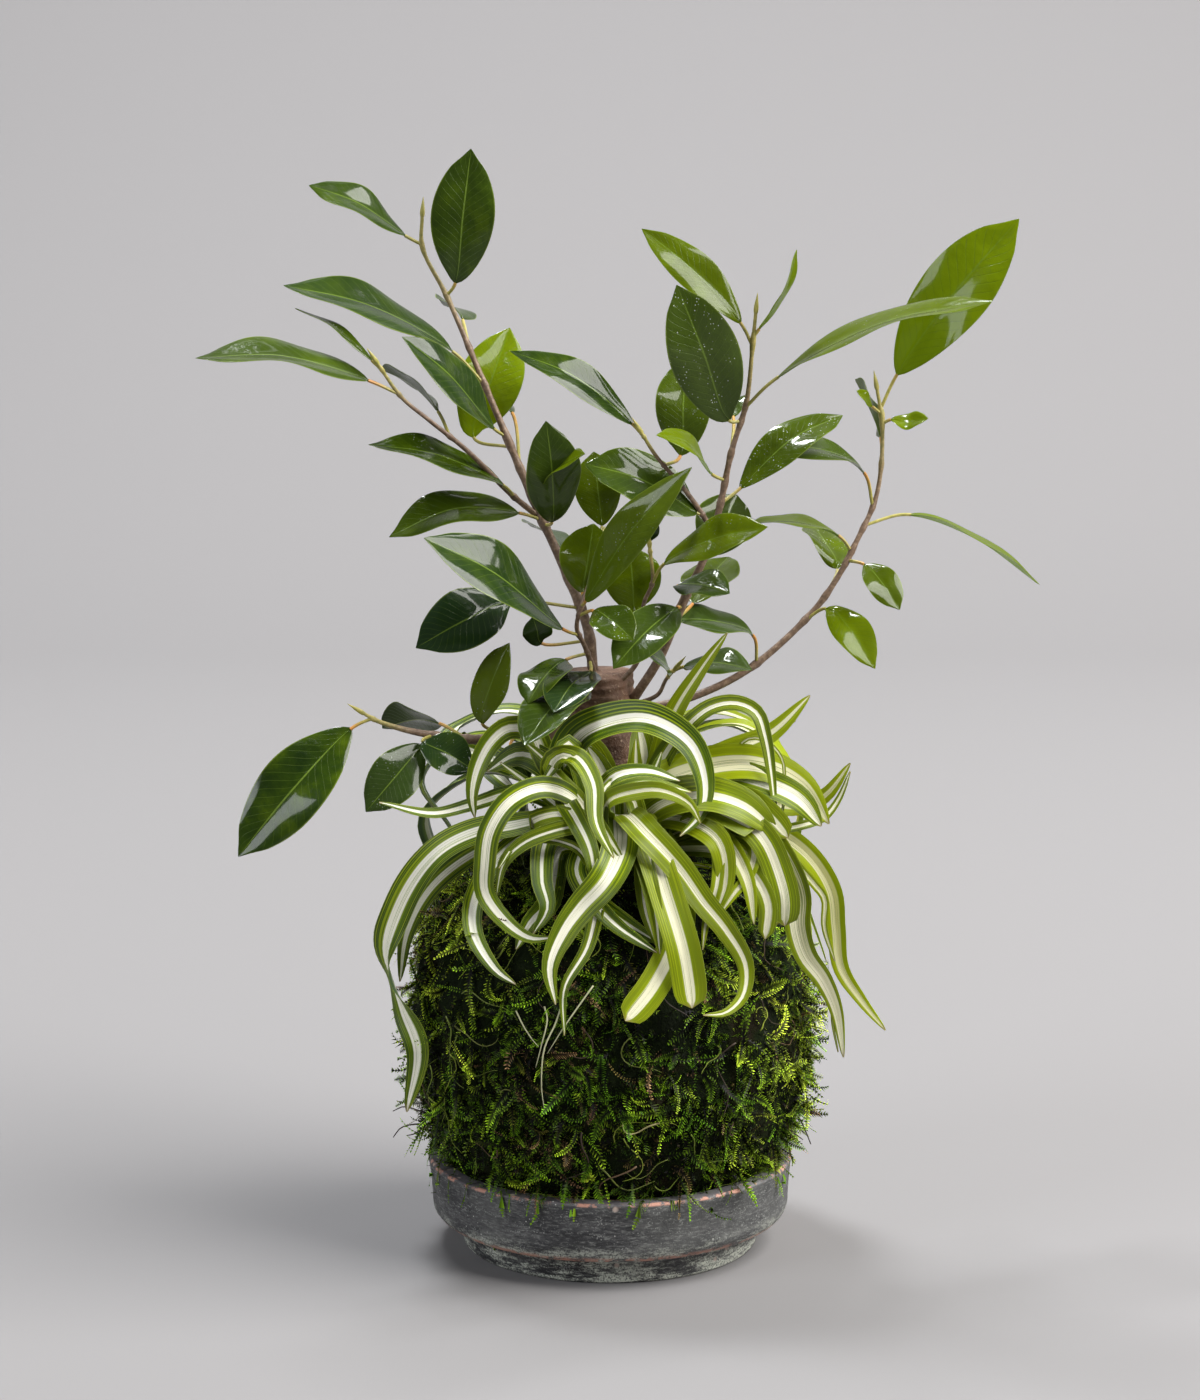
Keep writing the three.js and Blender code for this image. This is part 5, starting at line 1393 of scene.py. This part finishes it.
def back_strap(k):
    """Strap leaf k behind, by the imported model's rule: it fans out away from the viewer, rises, arches
    over the edge of the ball and hangs down it."""
    def between(low, high, purpose):
        """A draw of this leaf between two limits."""
        return low + (high - low) * draw_for(k, purpose)

    aim = -4 + 188 * (k + 0.7 * draw_for(k, 1)) / (BACK_COUNT - 0.4)
    turn = between(-36, 36, 2)
    crest, end = between(168, 193, 3), between(92, 148, 4)
    width, clear = between(8, 12, 5), between(6, 12, 6)

    def outward(swing):
        """Level direction from the axis at a swing: straight back at 0, along the leaf's aim at 1, and
        turned on from there beyond it."""
        angle = math.radians(90 + (aim - 90) * min(swing, 1) + turn * max(0, swing - 1))
        return np.array([math.cos(angle), math.sin(angle), 0])

    def place(swing, reach, z):
        """Point at a swing, a distance from the axis and a height."""
        return list((outward(swing) * reach)[:2]) + [z]

    middle = crest + 0.55 * (end - crest)
    route = [place(0.45, 37, crest - 9), place(0.8, 52, crest), place(1, 68, crest + 0.2 * (end - crest)),
             place(1.5, float(ball_radius(np.array(middle))) + clear + 3, middle),
             place(2, float(ball_radius(np.array(end))) + clear, end)]
    return [width, [-outward(1), look(5), outward(1.5), outward(2)], route]


def strap_clump(draw, crown, straps, standing):
    """Body of a clump of strap leaves, with the crown that they grow from if it is standing there."""
    body = Body("tone", "under", "stripe", "seed")
    if standing:
        add_crown(body, crown)
    for strap in straps:
        add_strap(body, draw, np.array(crown, float), strap)
    return body


def make_inner_straps():
    """The narrower leaves of the front clump."""
    body = strap_clump(np.random.default_rng(SEED + 3), FRONT_CROWN, INNER_STRAPS, False)
    body.build("striped_straps_inner", [STRAP], "strap_leaf", crisp=True)


def make_straps(name, node_name, crown, straps):
    """A clump of strap leaves on its crown."""
    body = strap_clump(np.random.default_rng(number_of(name)), crown, straps, True)
    piece = body.build(name, [STRAP], "strap_leaf", crisp=True)
    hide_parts(node_name)


def make_stage():
    """A pale floor that curves up behind, as a quarter of a circle, into a plain wall, well outside the
    object."""
    bend = np.radians(np.linspace(10, 90, 9))
    curve = 900
    depth = np.concatenate([[-2600, 0, 1500], 1500 + curve * np.sin(bend), [1500 + curve]])
    height = np.concatenate([[0, 0, 0], curve - curve * np.cos(bend), [3600]])
    x = np.linspace(-4200, 4200, 3)
    points = np.stack(np.broadcast_arrays(x[None], depth[:, None], height[:, None]), -1).reshape(-1, 3) * MM
    mesh = bpy.data.meshes.new("studio_floor")
    mesh.from_pydata(points.tolist(), [], grid_faces(len(depth), len(x)).tolist())
    mesh.polygons.foreach_set("use_smooth", np.ones(len(mesh.polygons), bool))
    floor = bpy.data.objects.new("studio_floor", mesh)
    bpy.context.scene.collection.objects.link(floor)
    skin = Skin("studio_grey")
    mesh.materials.append(skin.finish(skin.principled((0.186, 0.182, 0.186), 0.9, Specular_IOR_Level=0.1)))


def add_softbox(name, place, target, size, power, colour):
    """A square area lamp at a place, in metres, turned to a target."""
    lamp = bpy.data.lights.new(name, "AREA")
    lamp.shape = "SQUARE"
    lamp.size = size
    lamp.energy = power
    lamp.color = colour
    holder = bpy.data.objects.new(name, lamp)
    bpy.context.scene.collection.objects.link(holder)
    holder.location = place
    holder.visible_camera = False
    aim = np.array(target) - np.array(place)
    flat = math.hypot(aim[0], aim[1])
    holder.rotation_euler = (math.atan2(flat, -aim[2]), 0, math.atan2(aim[1], aim[0]) - math.pi / 2)


def make_light():
    """Plain soft studio light: a large key from the upper right in front, a fill from the left, a small
    lamp from above and behind, one that lights the wall, and an even pale surround, which is dimmer as
    a light than where it shows."""
    add_softbox("key_light", (2.2, -0.7, 2.6), (0, 0, 0.2), 2.8, 350, (1.0, 0.98, 0.94))
    add_softbox("fill_light", (-2.6, -1.8, 1.8), (0, 0, 0.18), 1.5, 60, (0.94, 0.97, 1.0))
    add_softbox("top_light", (-0.6, 0.8, 3.2), (0, 0, 0.15), 0.6, 115, (0.97, 0.99, 1.0))
    add_softbox("wall_light", (0, 1.2, 2.4), (0, 2.6, 1.5), 2.0, 40, (1.0, 1.0, 1.0))
    world = bpy.data.worlds.new("studio_surround")
    world.use_nodes = True
    tree = world.node_tree
    tree.nodes.clear()
    soft = node(tree, "Background", {0: (0.80, 0.81, 0.83), 1: 0.15})
    seen = node(tree, "Background", {0: (0.55, 0.545, 0.55), 1: 1.0})
    direct = Field(tree, node(tree, "LightPath").outputs["Is Camera Ray"])
    shaders = {0: direct, 1: Field(tree, soft.outputs[0]), 2: Field(tree, seen.outputs[0])}
    node(tree, "OutputWorld", {0: Field(tree, node(tree, "MixShader", shaders).outputs[0])})
    bpy.context.scene.world = world


def make_camera():
    """The camera at the photograph's viewing angle."""
    data = bpy.data.cameras.new("camera")
    data.lens = LENS
    data.sensor_width = SENSOR
    camera = bpy.data.objects.new("camera", data)
    bpy.context.scene.collection.objects.link(camera)
    camera.location = [v * MM for v in EYE]
    camera.rotation_euler = (math.radians(90 - CAMERA_PITCH), 0, 0)
    bpy.context.scene.camera = camera


make_camera()
make_stage()
make_light()
bpy.context.scene.view_settings.view_transform = "Standard"
make_saucer()
make_soil()
make_moss_bed()
make_moss_fronds()
make_moss_threads()
make_trunk()
FIG_LEAF, FIG_STEM, STRAP = fig_leaf_material(), stem_material(), strap_material()
for node_name, parts in FIG_STEMS.items():
    make_fig_stem(node_name, parts)
make_straps("striped_straps_front", "strap_leaves_front", FRONT_CROWN, FRONT_STRAPS)
make_inner_straps()
back_straps = [back_strap(k) for k in range(BACK_COUNT)]
make_straps("striped_straps_back", "strap_leaves_back", BACK_CROWN, back_straps)
